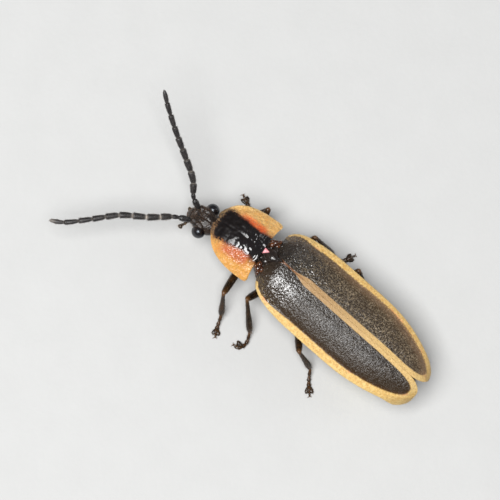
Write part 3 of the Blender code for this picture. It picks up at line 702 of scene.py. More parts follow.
def elytron_outer(back):
    """How far the outer edge of a wing case is from the middle line."""
    back = np.asarray(back, float)
    front_share = np.clip(1.0 - back / ELYTRON_WIDEST, 0.0, 1.0)
    front = ELYTRA_HALF_WIDTH * (1.0 - front_share ** 2) ** (1.0 / 6.0)
    share = np.clip((back - ELYTRON_WIDEST) / (ELYTRON_LENGTH - ELYTRON_WIDEST), 0.0, 1.0)
    reach = ELYTRA_HALF_WIDTH - ELYTRON_TIP_OUT
    rear = ELYTRON_TIP_OUT + reach * (1.0 - share ** REAR_FULLNESS) ** (1.0 / REAR_FULLNESS)
    rear = rear + REAR_SWELL * bell(back, REAR_SWELL_AT, REAR_SWELL_REACH)
    return np.where(back < ELYTRON_WIDEST, front, rear)


def elytron_inner(back):
    """How far the inner edge of a wing case is from the middle line."""
    back = np.asarray(back, float)
    notch = 0.3 * (1.0 - smoothstep(-0.1, 0.62, back))
    share = np.clip(back - (ELYTRON_LENGTH - TIP_GAP_LENGTH), 0.0, None) / TIP_GAP_LENGTH
    opening = (ELYTRON_TIP_OUT - SEAM_GAP) * (1.0 - np.sqrt(np.clip(1.0 - share ** 2, 0.0, 1.0)))
    return SEAM_GAP + notch + opening


def elytron_top(back, out):
    """The height of a wing case's upper face, with its rim and faint ribs."""
    outer = elytron_outer(back)
    across = out / np.maximum(outer, 1e-6)
    front = 0.24 * (1.0 - smoothstep(-0.1, 0.62, back))
    rear = 0.42 * smoothstep(5.6, 9.4, back)
    bend = ELYTRA_DROP * across ** 2.3
    rim = 0.09 * smoothstep(outer - MARGIN_WIDTH, outer, out)
    bead = 0.012 * bell(out, 0.0, 0.12) * smoothstep(0.8, 2.0, back)
    ribs = sum(height * bell(across, place, RIB_WIDTH) for place, height in RIBS)
    ribs = ribs * smoothstep(0.5, 1.6, back) * (1.0 - smoothstep(6.6, 7.8, back))
    shoulder = 0.08 * bell(across, 0.7, 0.16) * bell(back, 0.62, 0.42)
    dip = -0.2 * bell(across, 0.22, 0.3) * bell(back, -0.05, 0.42)
    groove = -0.025 * bell(out, outer - MARGIN_WIDTH - 0.02, 0.06) * smoothstep(0.8, 2.2, back)
    return ELYTRA_TOP - front - rear - bend + rim + bead + ribs + shoulder + dip + groove


def shell(top, thick, edge):
    """A closed thin plate from a grid of upper points, thinning to a rounded edge."""
    rows, columns = top.shape[:2]
    down = unit(np.cross(np.gradient(top, axis=0), np.gradient(top, axis=1)))
    if down[..., 2].mean() > 0.0:
        down = -down
    share = np.clip(edge / (0.6 * thick), 0.0, 1.0)
    depth = thick * np.sqrt(1.0 - (1.0 - share) ** 2)
    low = top + down * depth[..., None]
    points = np.concatenate((top.reshape(-1, 3), low.reshape(-1, 3)))
    index = np.arange(rows * columns).reshape(rows, columns)
    quads = np.stack((index[:-1, :-1], index[:-1, 1:], index[1:, 1:], index[1:, :-1]), -1).reshape(-1, 4)
    under = quads[:, ::-1] + rows * columns
    faces = [tuple(face) for face in np.concatenate((quads, under))]
    loop = list(index[0, :]) + list(index[1:, -1]) + list(index[-1, -2::-1]) + list(index[-2:0:-1, 0])
    for here, after in zip(loop, loop[1:] + loop[:1]):
        faces.append((here, here + rows * columns, after + rows * columns, after))
    return points, faces


def welded(obj, distance=0.0005):
    """Merges an object's coincident points and turns its faces outwards."""
    bm = bmesh.new()
    bm.from_mesh(obj.data)
    bmesh.ops.remove_doubles(bm, verts=bm.verts, dist=distance)
    bmesh.ops.recalc_face_normals(bm, faces=bm.faces)
    bm.to_mesh(obj.data)
    bm.free()
    obj.data.update()
    return obj


def nearest_on(points, curve):
    """Each point's distance to a curve of dense points, seen from above."""
    reach = np.full(len(points), 1e9)
    for spot in curve:
        reach = np.minimum(reach, np.hypot(points[:, 0] - spot[0], points[:, 1] - spot[1]))
    return reach


def make_shell(node, surface, slot, top, thick, border, unwrap, **values):
    """A finished shell in a solid's place, with its unwrap and values on both faces."""
    border = border.reshape(top.shape[:2])
    border[0] = border[-1] = border[:, 0] = border[:, -1] = 0.0
    points, faces = shell(top, thick, border)
    both = {name: np.tile(value, 2) for name, value in values.items()}
    shape = Shape().add(points, faces, np.tile(unwrap, (2, 1)), **both)
    finished(welded(shape.object(f"{node}_shell", surface)), slot, node)


def make_elytron(name, side, surface):
    """One wing case as a thin arched shell. Returns its upper grid and what hairs need of it."""
    size = (240, 64)
    share = np.linspace(0.0, 1.0, size[0])
    ease = 0.5 - 0.5 * np.cos(np.pi * share)
    back = ELYTRON_LENGTH * (0.002 + 0.9975 * (0.45 * share + 0.55 * ease))
    across = np.linspace(0.0, 1.0, size[1])
    across = 0.5 * (0.5 - 0.5 * np.cos(np.pi * across)) + 0.5 * across
    back_grid = np.repeat(back[:, None], size[1], 1)
    inner, outer = elytron_inner(back_grid), elytron_outer(back_grid)
    out = inner + (outer - inner) * across[None, :]
    height = elytron_top(back_grid, out)
    wrinkle = 0.005 * np.sin(back_grid * 23.0 + 3.0 * np.sin(out * 11.0))
    wrinkle = wrinkle * np.sin(out * 31.0 + back_grid * 5.0)
    height = height + wrinkle * smoothstep(0.02, 0.15, outer - out)
    if side > 0.0:
        turned = bell(back_grid, 7.85, 0.4) * smoothstep(outer - 0.24, outer, out)
        height = height - 0.3 * turned
        out = out + 0.06 * turned
    slant = SHOULDER_SLANT * smoothstep(0.55, 1.3, out) * (1.0 - smoothstep(0.0, 1.6, back_grid))
    flat = np.stack((side * out, ELYTRON_FRONT + back_grid, height), -1).reshape(-1, 3)
    marks = np.linspace(0.12, ELYTRON_LENGTH, 500)
    edge, seam = (
        nearest_on(flat, np.stack((side * limit(marks), marks + ELYTRON_FRONT), -1))
        for limit in (elytron_outer, elytron_inner))
    front = flat[:, 1] - ELYTRON_FRONT
    top = flat.copy()
    top[:, 1] += side * slant.ravel()
    top = moved(top, ELYTRA_FRAME).reshape(*size, 3)
    unwrap = grid_places(across, share)
    border = np.minimum(np.minimum(edge, seam), front)
    right = np.full(len(edge), float(side < 0.0))
    make_shell(name, surface, "wing_case", top, ELYTRON_THICK, border, unwrap,
               right=right, edge=edge, seam=seam, back=front)
    return top, unwrap.reshape(*size, 2), edge.reshape(size), seam.reshape(size), back_grid


# Fine hairs


def grid_roots(top, unwrap, density, mask=None):
    """Random places on a grid of points, with their normals, their lie and unwrap places."""
    here, beside, after = top[:-1, :-1], top[:-1, 1:], top[1:, :-1]
    area = np.linalg.norm(np.cross(beside - here, after - here), axis=-1)
    weight = area if mask is None else area * mask[:-1, :-1]
    count = int(weight.sum() * density)
    cells = RANDOM.choice(weight.size, count, p=(weight / weight.sum()).ravel())
    row, column = np.unravel_index(cells, weight.shape)
    u, v = RANDOM.random((2, count, 1))
    one, two = top[row, column], top[row, column + 1]
    three, four = top[row + 1, column], top[row + 1, column + 1]
    roots = (1 - u) * (1 - v) * one + u * (1 - v) * two + (1 - u) * v * three + u * v * four
    normal = unit(np.cross(two - one, three - one))
    normal *= np.sign(normal[:, 2:])
    return roots, normal, unit(three - one), unwrap[row, column]


def mesh_roots(shape, density, mask=None):
    """Random places on a shape's faces, with their normals, their lie and unwrap places."""
    points, unwrap, lies = shape.arrays()
    corners = np.array([(f[0], f[i], f[i + 1]) for f in shape.faces for i in range(1, len(f) - 1)])
    one, two, three = points[corners[:, 0]], points[corners[:, 1]], points[corners[:, 2]]
    cross = np.cross(two - one, three - one)
    area = 0.5 * np.linalg.norm(cross, axis=1)
    if mask is not None:
        area = area * mask((one + two + three) / 3.0)
    pick = RANDOM.choice(len(area), int(area.sum() * density), p=area / area.sum())
    u, v = RANDOM.random((2, len(pick), 1))
    swap = (u + v) > 1.0
    u, v = np.where(swap, 1.0 - u, u), np.where(swap, 1.0 - v, v)
    roots = one[pick] + u * (two[pick] - one[pick]) + v * (three[pick] - one[pick])
    return roots, unit(cross)[pick], lies[corners[pick, 0]], unwrap[corners[pick, 0]]


def make_coat(name, surface, slot, roots, normal, lie, unwrap, length, width, lift, spread=0.3):
    """Joined hairs, each a thin bent spike that lies along the surface, with its OFBake patch."""
    count = len(roots)
    lie = lie - normal * (lie * normal).sum(-1, keepdims=True)
    side = unit(np.cross(normal, lie))
    lie = unit(unit(lie) + side * RANDOM.normal(0.0, spread, (count, 1)))
    side = unit(np.cross(normal, lie))
    long = length * RANDOM.uniform(0.65, 1.2, (count, 1))
    rise = lift * RANDOM.uniform(0.6, 1.4, (count, 1))
    above = (roots + (lie + normal * rise * 0.9) * long)[:, 2] > FLOOR_CLEAR
    hairs = (roots, normal, lie, side, unwrap, long, rise)
    roots, normal, lie, side, unwrap, long, rise = (part[above] for part in hairs)
    root = roots - normal * 0.25 * width
    middle = roots + (lie * 0.5 + normal * 0.5 * rise * 1.25) * long
    tip = roots + (lie + normal * rise * 0.9) * long
    corners = [side * math.cos(turn) + normal * math.sin(turn) for turn in full_turn(3)]
    base = [root + corner * 0.5 * width for corner in corners]
    waist = [middle + corner * 0.36 * width for corner in corners]
    points = np.stack((*base, *waist, tip), 1).reshape(-1, 3)
    start = (np.arange(len(roots)) * len(HAIR_TIPS))[:, None, None]
    faces = (HAIR_QUADS + start).reshape(-1, 4).tolist() + (HAIR_TRIANGLES + start).reshape(-1, 3).tolist()
    mesh = bpy.data.meshes.new(name)
    mesh.from_pydata(points.tolist(), [], faces)
    patch = (unwrap[:, None] + HAIR_PATCH).reshape(-1, 2)
    corner_points = np.empty(len(mesh.loops), np.int32)
    mesh.loops.foreach_get("vertex_index", corner_points)
    layer = mesh.uv_layers.new(name="OFBake")
    layer.data.foreach_set("uv", patch[corner_points].astype(np.float32).ravel())
    carry(mesh, "tip", np.tile(HAIR_TIPS, len(roots)))
    mesh.materials.append(surface)
    mesh.shade_smooth()
    return finished(linked(name, mesh), slot)


# Shield


def pronotum_half_width(ahead):
    """Half the shield's width at a distance ahead of its hind corners."""
    share = np.clip((ahead - 0.3) / (PRONOTUM_LENGTH - 0.3), 0.0, 1.0)
    corner = 0.05 * np.clip(1.0 - ahead / 0.25, 0.0, 1.0) ** 2
    return PRONOTUM_HALF_WIDTH * ((1.0 - share ** 2.5) ** 0.4 - corner)


def pronotum_height(across, ahead):
    """The height of the shield's upper face."""
    beside = np.abs(across)
    sideways = 1.0 - beside ** 2.4
    forwards = 1.0 - np.clip(ahead / PRONOTUM_LENGTH, 0.0, 1.0) ** 3.2
    hind = 0.86 + 0.14 * smoothstep(0.0, 0.8, ahead)
    dome = np.maximum(sideways * forwards * hind, 0.0)
    rim = PRONOTUM_SIDE_TOP + PRONOTUM_FRONT_RISE * (ahead / PRONOTUM_LENGTH) ** 2
    height = rim + PRONOTUM_DOME * dome + 0.06 * smoothstep(0.78, 1.0, beside)
    middle_line = -0.014 * bell(across, 0.0, 0.04) * smoothstep(0.3, 0.7, ahead)
    middle_line = middle_line * (1.0 - smoothstep(1.9, 2.3, ahead))
    hollow = -0.03 * bell(beside, 0.62, 0.13) * bell(ahead, 0.7, 0.5)
    swell = 0.03 * bell(beside, 0.27, 0.17) * bell(ahead, 0.95, 0.55)
    step = -0.04 * bell(ahead, 0.34 + 0.1 * beside, 0.07) * (1.0 - beside ** 3)
    return height + middle_line + hollow + swell + step
def make_pronotum(surface):
    """The shield as a thin shell. Returns its upper grid for the hairs."""
    rows, columns = 120, 130
    across = np.sin(0.5 * np.pi * np.linspace(-1.0, 1.0, columns))
    across = 0.6 * across + 0.4 * np.linspace(-1.0, 1.0, columns)
    share = np.linspace(0.0, 1.0, rows)
    eased = 0.4 * share + 0.6 * np.sin(0.5 * np.pi * share)
    hind_corner = np.clip((np.abs(across) - 0.9) / 0.1, 0.0, 1.0) ** 2
    base = HIND_ANGLE * (1.0 - np.abs(across) ** 3.0) + 0.07 * hind_corner
    ahead = base[None] + (0.9995 * PRONOTUM_LENGTH - base[None]) * eased[:, None]
    grid_across = np.repeat(across[None], rows, 0)
    out = grid_across * pronotum_half_width(ahead)
    height = pronotum_height(grid_across, ahead)
    flat = np.stack((out, -ahead, height), -1).reshape(-1, 3)
    marks = np.linspace(0.0, PRONOTUM_LENGTH, 400)
    half = pronotum_half_width(marks)
    curve = np.stack((np.concatenate((half, -half)), -np.concatenate((marks, marks))), -1)
    rim = nearest_on(flat, curve)
    border = np.minimum(rim, (ahead - base[None]).ravel())
    top = moved(flat, PRONOTUM_FRAME).reshape(rows, columns, 3)
    unwrap = grid_places(0.5 + 0.5 * across, share)
    make_shell("pronotum", surface, "shield", top, PRONOTUM_THICK, border, unwrap,
               across=out.ravel(), ahead=ahead.ravel(), rim=rim)
    return top, unwrap.reshape(rows, columns, 2), out


# Underside


def body_loft(shape, stations, matrix=Matrix(), sides=48, squareness=2.4, **values):
    """A run of rings across the body: back, half width, top and bottom at each station."""
    back, half_width, top, bottom = np.array(stations, float).T[..., None]
    turn = full_turn(sides)
    circle = np.stack((np.cos(turn), np.sin(turn)))
    across, rise = np.sign(circle) * np.abs(circle) ** (2.0 / squareness)
    middle, half = 0.5 * (top + bottom), 0.5 * (top - bottom)
    rings = np.stack(np.broadcast_arrays(half_width * across, back, middle + half * rise), -1)
    return shape.add_rings(moved(rings, matrix), **values)


def make_thorax(surface):
    """Fore, middle and hind thorax under the plates."""
    shape = Shape()
    body_loft(shape, smooth_path(FORE_THORAX, 6, False), PRONOTUM_FRAME, pale=0.0)
    body_loft(shape, smooth_path(REAR_THORAX, 6, False), pale=0.0)
    finished(shape.object("thorax", surface), "belly", "prothorax", "pterothorax")
    return shape


def abdomen_half_width(back):
    """Half the abdomen's width."""
    share = np.clip(back - 4.6, 0.0, None) / 3.47
    swell = ABDOMEN_HALF_WIDTH - 0.12 * (1.0 - smoothstep(ABDOMEN_FRONT, 4.6, back))
    return swell * np.sqrt(np.clip(1.0 - share ** 2.6, 0.0, 1.0))


def abdomen_stations(front, end, segments):
    """Ring stations for a run of overlapping abdomen segments, and how pale each is."""
    stations, pale = [], []
    step = (end - front) / segments
    for number in range(segments):
        for share in (0.0, 0.03, 0.1, 0.2, 0.35, 0.55, 0.75, 0.88, 0.94, 0.97, 0.99):
            back = front + step * (number + share)
            swell = 1.0 - 0.06 * (1.0 - smoothstep(0.0, 0.14, share)) - 0.015 * smoothstep(0.9, 1.0, share)
            half_width = float(abdomen_half_width(back)) * (1.0 if share > 0.1 else 0.965 + 0.35 * share)
            tall = min(0.58 * min(1.0, 0.35 + half_width / ABDOMEN_HALF_WIDTH) * swell, half_width)
            stations.append((back, half_width * swell, ABDOMEN_MIDDLE + tall, ABDOMEN_MIDDLE - tall))
            pale.append(0.75 if share < 0.03 else 0.25 * float(share > 0.9))
    return stations, np.array(pale)


def round_end(station):
    """Stations that close the body's end with a low dome."""
    back, half_width, top, bottom = station
    middle, half = 0.5 * (top + bottom), 0.5 * (top - bottom)
    stations = []
    for turn in np.radians((18.0, 36.0, 52.0, 66.0, 78.0, 87.0)):
        share, behind = math.cos(turn), back + 0.13 * math.sin(turn)
        stations.append((behind, half_width * share, middle + half * share, middle - half * share))
    return stations


def make_abdomen(belly, lantern):
    """The ringed abdomen with its pale light organ."""
    shapes = []
    for name, surface, slot, front, end, segments, nodes in (
        ("abdomen_rings", belly, "belly", 3.0, 5.58, 4, ("abdomen",)),
        ("lantern_rings", lantern, "lantern", 5.52, 6.98, 2, ("lantern",)),
        ("abdomen_end", belly, "belly", 6.93, 7.98, 2, ("abdomen_tip",)),
    ):
        stations, pale = abdomen_stations(front, end, segments)
        if name == "abdomen_end":
            ending = round_end(stations[-1])
            stations, pale = stations + ending, np.append(pale, np.zeros(len(ending)))
        shape = body_loft(Shape(), stations, sides=56, squareness=2.2, pale=pale)
        finished(shape.object(name, surface), slot, *nodes)
        shapes.append(shape)
    return shapes


# Head


def remeshed(obj, voxel, smooth_steps):
    """Fuses an object's overlapping parts into one skin and smooths it."""
    change = obj.modifiers.new("fuse", "REMESH")
    change.mode = "VOXEL"
    change.voxel_size = voxel
    soften = obj.modifiers.new("soften", "SMOOTH")
    soften.factor = 0.5
    soften.iterations = smooth_steps
    graph = bpy.context.evaluated_depsgraph_get()
    mesh = bpy.data.meshes.new_from_object(obj.evaluated_get(graph))
    materials = list(obj.data.materials)
    obj.modifiers.clear()
    obj.data = mesh
    mesh.materials.clear()
    for item in materials:
        mesh.materials.append(item)
    mesh.shade_smooth()
    return obj


def on_head(x, y, z):
    """A place on the head, brought to the insect's frame."""
    return HEAD_FRAME @ Vector((x, y, z))


def make_head(surface, jaw_surface):
    """The head capsule with its brow, face, feeler sockets, cheeks and neck, and the jaws."""
    shape = Shape()
    shape.ellipsoid(on_head(0.0, 0.06, 0.0), (0.54, 0.62, 0.4), HEAD_TURN, 32, 20)
    shape.ellipsoid(on_head(0.0, -0.42, -0.1), (0.4, 0.36, 0.29), HEAD_TURN, 28, 18)
    shape.ellipsoid(on_head(0.0, -0.62, -0.2), (0.24, 0.17, 0.14), HEAD_TURN)
    neck = [on_head(0.0, 0.3, 0.02), on_head(0.0, 0.7, 0.02), on_head(-0.06, 1.05, 0.02)]
    shape.tube(neck, (0.38, 0.36, 0.34), 24)
    for side in (-1.0, 1.0):
        shape.ellipsoid(on_head(side * 0.3, -0.42, 0.12), (0.165, 0.17, 0.17), HEAD_TURN)
        shape.ellipsoid(on_head(side * 0.33, -0.1, 0.1), (0.22, 0.34, 0.26), HEAD_TURN)
    obj = remeshed(shape.object("head_skin", surface), 0.018, 4)
    dent_head(obj)
    roots = skin_roots(obj, 420, HEAD_PLACE)
    finished(obj, "black_plate", "head")
    jaws = Shape()
    for side in (-1.0, 1.0):
        points = smooth_path([on_head(side * x, y, z - 0.02 * side) for x, y, z in JAW_PATH], 5)
        jaws.tube(points, np.interp(np.linspace(0, 1, len(points)), (0, 0.5, 1), (0.075, 0.055, 0.008)), 12)
    jaws.ellipsoid(on_head(0.0, -0.66, -0.19), (0.17, 0.1, 0.05), HEAD_TURN)
    finished(jaws.object("jaws", jaw_surface), "amber_plate")
    return roots


def skin_roots(obj, density, centre):
    """Random places on a fused skin, with normals, a lie towards its front and unwrap places."""
    mesh = obj.data
    mesh.calc_loop_triangles()
    points = np.empty(len(mesh.vertices) * 3)
    mesh.vertices.foreach_get("co", points)
    points = points.reshape(-1, 3)
    corners = np.empty(len(mesh.loop_triangles) * 3, np.int32)
    mesh.loop_triangles.foreach_get("vertices", corners)
    one, two, three = (points[corners.reshape(-1, 3)[:, k]] for k in range(3))
    cross = np.cross(two - one, three - one)
    area = 0.5 * np.linalg.norm(cross, axis=1)
    area = area * (0.12 + 0.88 * smoothstep(-2.85, -3.15, (one + two + three)[:, 1] / 3.0))
    pick = RANDOM.choice(len(area), int(area.sum() * density), p=area / area.sum())
    roots = (one[pick] + two[pick] + three[pick]) / 3.0
    away = unit(roots - np.array(centre))
    around = np.arctan2(away[:, 0], away[:, 1]) / (2.0 * np.pi) + 0.5
    rise = np.arccos(np.clip(away[:, 2], -1.0, 1.0)) / np.pi
    lie = np.broadcast_to((0.1, -1.0, 0.0), roots.shape)
    return roots, unit(cross)[pick], lie, np.stack((around, rise), -1) * 0.96 + 0.02


def dent_head(obj):
    """Presses a shallow hollow between the feelers and a groove down the middle of the head."""
    frame_back = HEAD_FRAME.inverted()
    for vert in obj.data.vertices:
        local = frame_back @ vert.co
        hollow = float(bell(local.x, 0.0, 0.13) * bell(local.y, -0.34, 0.26))
        groove = float(bell(local.x, 0.0, 0.03) * smoothstep(-0.55, -0.2, local.y))
        if local.z > 0.0:
            vert.co.z -= 0.075 * hollow + 0.02 * groove
    obj.data.update()


def make_eyes(surface):
    """Two compound eyes, half sunk in the head."""
    for name, side in (("eye_left", 1.0), ("eye_right", -1.0)):
        shape = Shape().ellipsoid(on_head(side * EYE_OUT, 0.0, 0.02), EYE_RADII, HEAD_TURN, 64, 44)
        finished(shape.object(f"{name}_dome", surface), "eye", name)


def make_palps(surface):
    """Mouth feelers, each of four joints with a broad last one and a short inner feeler."""
    shapes = []
    for name, side in (("left", 1.0), ("right", -1.0)):
        points = [on_head(*joint) for joint in PALP_PATHS[name]]
        shape = Shape()
        for number, (start, end) in enumerate(zip(points, points[1:])):
            last = number == len(points) - 2
            path = along(np.array([start, end]), np.linspace(0.0, (end - start).length, len(PALP_PROFILE)))
            wide, flat, pale = (0.1, 0.75, 0.0) if last else (0.062, 1.0, 0.05)
            shape.tube(path, PALP_PROFILE * wide, 14, flat, pale=pale)
        start, end = on_head(side * 0.1, -0.5, -0.38), on_head(side * 0.13, -0.72, -0.44)
        path = along(np.array([start, end]), np.linspace(0.0, (end - start).length, len(INNER_PALP_WIDTHS)))
        shape.tube(path, INNER_PALP_WIDTHS, 12, pale=0.1)
        finished(shape.object(f"palp_{name}_joints", surface), "leg", f"palp_{name}")
        shapes.append(shape)
    return shapes


# Feelers


def segment_form(number, thick):
    """A feeler segment's thickness and its swell from end to end."""
    if number == 0:
        return 0.135, np.interp(SEGMENT_SHARES, (0, 0.2, 0.65, 0.9, 1.0), (0.5, 0.75, 1.05, 0.85, 0.5))
    if number == 1:
        return 0.1, np.interp(SEGMENT_SHARES, (0, 0.2, 0.6, 0.9, 1.0), (0.5, 0.85, 1.05, 0.85, 0.5))
    if number == len(ANTENNA_SHARES) - 1:
        return thick, np.interp(SEGMENT_SHARES, (0, 0.1, 0.5, 0.85, 1.0), (0.5, 0.8, 1.0, 0.75, 0.25))
    return thick, SEGMENT_SWELL


def make_antenna(side, surface):
    """A feeler of eleven segments. Returns its shape for the hairs."""
    path = smooth_path(ANTENNA_PATHS[side], 10)
    share = np.linspace(0.0, 1.0, len(path))[:, None]
    path = path + np.array(ANTENNA_SET[side]) * np.sin(np.pi * share ** 0.8)
    total = length_of(path)
    joints = np.concatenate(((0.0,), np.cumsum(ANTENNA_SHARES))) * total
    joints[0] = -0.06
    shape = Shape()
    for number, ring in enumerate(PALE_RINGS):
        start, end = joints[number], joints[number + 1] + 0.012
        points = along(path, start + (end - start) * SEGMENT_SHARES)
        thin = smoothstep(0.3, 1.05, (start + end) / 2 / total)
        thick = (ANTENNA_RADIUS + (ANTENNA_TIP_RADIUS - ANTENNA_RADIUS) * thin) * ANTENNA_FULLNESS
        thick, swell = segment_form(number, thick)
        ring = ring * (1.0 if side == "left" else 0.4)
        pale = ring * bell(SEGMENT_SHARES, 0.0, 0.11) + 0.3 * ring * bell(SEGMENT_SHARES, 1.0, 0.045)
        if number == len(ANTENNA_SHARES) - 1 and side == "left":
            pale = pale + 0.3 * smoothstep(0.4, 1.0, SEGMENT_SHARES)
        shape.tube(points, swell * thick, 20, 0.92, pale=pale, rough=0.2 if number < 2 else 0.38)
    nodes = [f"antenna_{side}_{part}" for part in ("scape", "flagellum_base", "flagellum_tip")]
    finished(shape.object(f"antenna_{side}", surface), "feeler", *nodes)
    return shape


# Legs


def limb(shape, start, end, widths, bow=0.0, flat=0.8, pale=(0.3, 0.0, 0.3), sides=20):
    """One leg piece between two joints, with rounded ends."""
    start, end = np.asarray(start, float), np.asarray(end, float)
    near, middle, far = np.linspace(0.0, 0.08, 5), np.linspace(0.14, 0.86, 14), np.linspace(0.92, 1.0, 5)
    share = np.concatenate((near, middle, far))
    points = start + (end - start) * share[:, None]
    points[:, 2] += bow * np.sin(np.pi * share)
    radius = np.interp(share, np.linspace(0.0, 1.0, len(widths)), widths)
    cap = np.sqrt(np.clip(1.0 - (1.0 - np.clip(share / 0.08, 0, 1)) ** 2, 0.02, 1.0))
    cap = cap * np.sqrt(np.clip(1.0 - (1.0 - np.clip((1.0 - share) / 0.08, 0, 1)) ** 2, 0.02, 1.0))
    tint = np.interp(share, (0.0, 0.12, 0.88, 1.0), (pale[0], pale[1], pale[1], pale[2]))
    shape.tube(points, radius * cap, sides, flat, pale=tint)


def make_leg(leg, surface):
    """A leg from its coxa to its claws. Returns its shape for the bristles."""
    root, hip, knee, ankle = (np.array(point, float) for point in LEGS[leg][:4])
    shape = Shape()
    inward = root + np.array((0.0, 0.0, 0.12))
    limb(shape, inward, hip, (0.22, 0.25, 0.24, 0.17), 0.0, 0.85, (0.2, 0.0, 0.4))
    toward = (knee - hip) / np.linalg.norm(knee - hip)
    limb(shape, hip - toward * 0.08, hip + toward * 0.3, (0.1, 0.13, 0.12, 0.09), 0.0, 0.9, (0.4, 0.15, 0.5))
    limb(shape, hip + toward * 0.12, knee + toward * 0.06, FEMUR_WIDTHS, -0.08, 0.8, (0.3, 0.0, 0.45))
    down = (ankle - knee) / np.linalg.norm(ankle - knee)
    limb(shape, knee - down * 0.03, ankle + down * 0.03, TIBIA_WIDTHS, 0.0, 0.8, (0.55, 0.0, 0.3))
    for side in (-1.0, 1.0):
        across = unit(np.cross(down, (0.0, 0.0, 1.0)))
        start = ankle + across * side * 0.06
        tip = start + down * 0.12 + across * side * 0.03
        shape.tube(np.linspace(start, tip, 5), (0.02, 0.017, 0.013, 0.008, 0.002), 8, pale=0.5)
    make_tarsus(shape, ankle, LEGS[leg][4])
    nodes = [f"{leg}_{part}" for part in ("coxa", "femur", "tibia", "tarsus")]
    finished(shape.object(f"{leg}_leg", surface), "leg", *nodes)
    return shape


def make_tarsus(shape, ankle, floor_points):
    """Five foot segments, the fourth cleft into two lobes, and a pair of claws."""
    path = smooth_path([ankle, *[(x, y, 0.1) for x, y in floor_points]], 8)
    path[:, 2] = np.maximum(path[:, 2], 0.085)
    total = length_of(path)
    for number, wide in enumerate(TARSUS_WIDTHS):
        start, end = TARSUS_SHARES[number] * total, TARSUS_SHARES[number + 1] * total
        if number == 4:
            start -= 0.06
        points = along(path, np.linspace(start, min(end, total), len(TARSUS_PROFILE)))
        shape.tube(points, TARSUS_PROFILE * wide, 16, 0.8, pale=np.linspace(0.25, 0.0, len(TARSUS_PROFILE)))
    ahead = unit(path[-1] - path[-4])
    aside = unit(np.array((-ahead[1], ahead[0], 0.0)))
    heel = along(path, np.array([0.68 * total]))[0]
    reach = 0.24 * total
    steps = np.linspace(0.0, 1.0, len(LOBE_WIDTHS))[:, None]
    for side in (-1.0, -0.35, 0.35, 1.0):
        lobe = heel + ahead * reach * (0.86 + 0.14 * abs(side)) * steps + aside * side * (0.03 + 0.11 * steps)
        lobe[:, 2] = heel[2] + (0.055 - heel[2]) * steps[:, 0]
        shape.tube(lobe, LOBE_WIDTHS, 14, 0.55, pale=0.0)
    for side in (-1.0, 1.0):
        claw = path[-1] + np.array([ahead * out + aside * side * wide for out, wide in CLAW_PATH])
        claw[1][2] += 0.015
        claw[2][2] = 0.02
        points = smooth_path(claw, 5)
        shape.tube(points, np.linspace(0.024, 0.003, len(points)), 10, pale=0.3)


# Small plates between shield and wing cases


def make_scutellum(surface):
    """The scutellum with two plates on each side of it."""
    shape = Shape()
    place = Matrix.Translation((0.1, 0.0, 0.0))
    body_loft(shape, smooth_path(SCUTELLUM_RINGS, 5, False), place, 36, 2.1)
    for side in (-1.0, 1.0):
        turn = Matrix.Rotation(-0.5 * side, 4, "Z")
        shape.ellipsoid((0.1 + side * 0.3, 0.02, 2.46), (0.2, 0.17, 0.19), turn, 28, 18)
        shape.ellipsoid((0.1 + side * 0.28, -0.2, 2.4), (0.2, 0.1, 0.16), turn, 28, 18)
    finished(shape.object("scutellum_plate", surface), "black_plate", "scutellum")


def make_wing_bases(surface):
    """The knobs at the wings' roots."""
    for name, out, x, y in (("left", 1.0, 0.84, -0.02), ("right", -1.0, -0.46, -0.18)):
        knobs = Shape()
        turn = Matrix.Rotation(0.5 * out, 4, "Z")
        knobs.ellipsoid((x, y, 2.47), (0.16, 0.13, 0.14), turn, 28, 18)
        for aside, behind, height, radii in KNOBS:
            knobs.ellipsoid((x + out * aside, y + behind, height), radii, turn, 24, 16)
        finished(knobs.object(f"wing_base_{name}_knobs", surface), "amber_plate", f"wing_base_{name}")


def make_base_skin(surface):
    """The soft pink skin by the shield's base, a low dome over a blunt triangle."""
    steps = 8
    count = 3 * steps
    corners, centre = BASE_SKIN_CORNERS, BASE_SKIN_CORNERS.mean(0)
    share = np.linspace(0.0, 1.0, steps + 1)[:-1, None]
    after = np.roll(corners, -1, axis=0)
    rim = np.concatenate([one + (two - one) * share for one, two in zip(corners, after)])
    from_corner = (np.arange(count) % steps + steps // 2) % steps - 0.5 * steps
    rim = centre + (rim - centre) * (1.0 - 0.1 * np.exp(-from_corner ** 2 / 1.5))[:, None]
    rings = [centre + (rim - centre) * reach + np.array((0.0, 0.0, rise)) for reach, rise in BASE_SKIN_RINGS]
    points = np.concatenate((*rings, (centre + np.array((0.0, 0.0, 0.022)),)))
    last = (len(rings) - 1) * count
    faces = [(one, four, three, two) for one, two, three, four in ring_faces(len(rings), count)]
    faces += [(last + k, last + (k + 1) % count, last + count) for k in range(count)]
    faces.append(range(count - 1, -1, -1))
    skin = Shape().add(points, faces, np.zeros((len(points), 2)))
    finished(skin.object("base_skin", surface), "amber_plate")


# Camera, light and floor


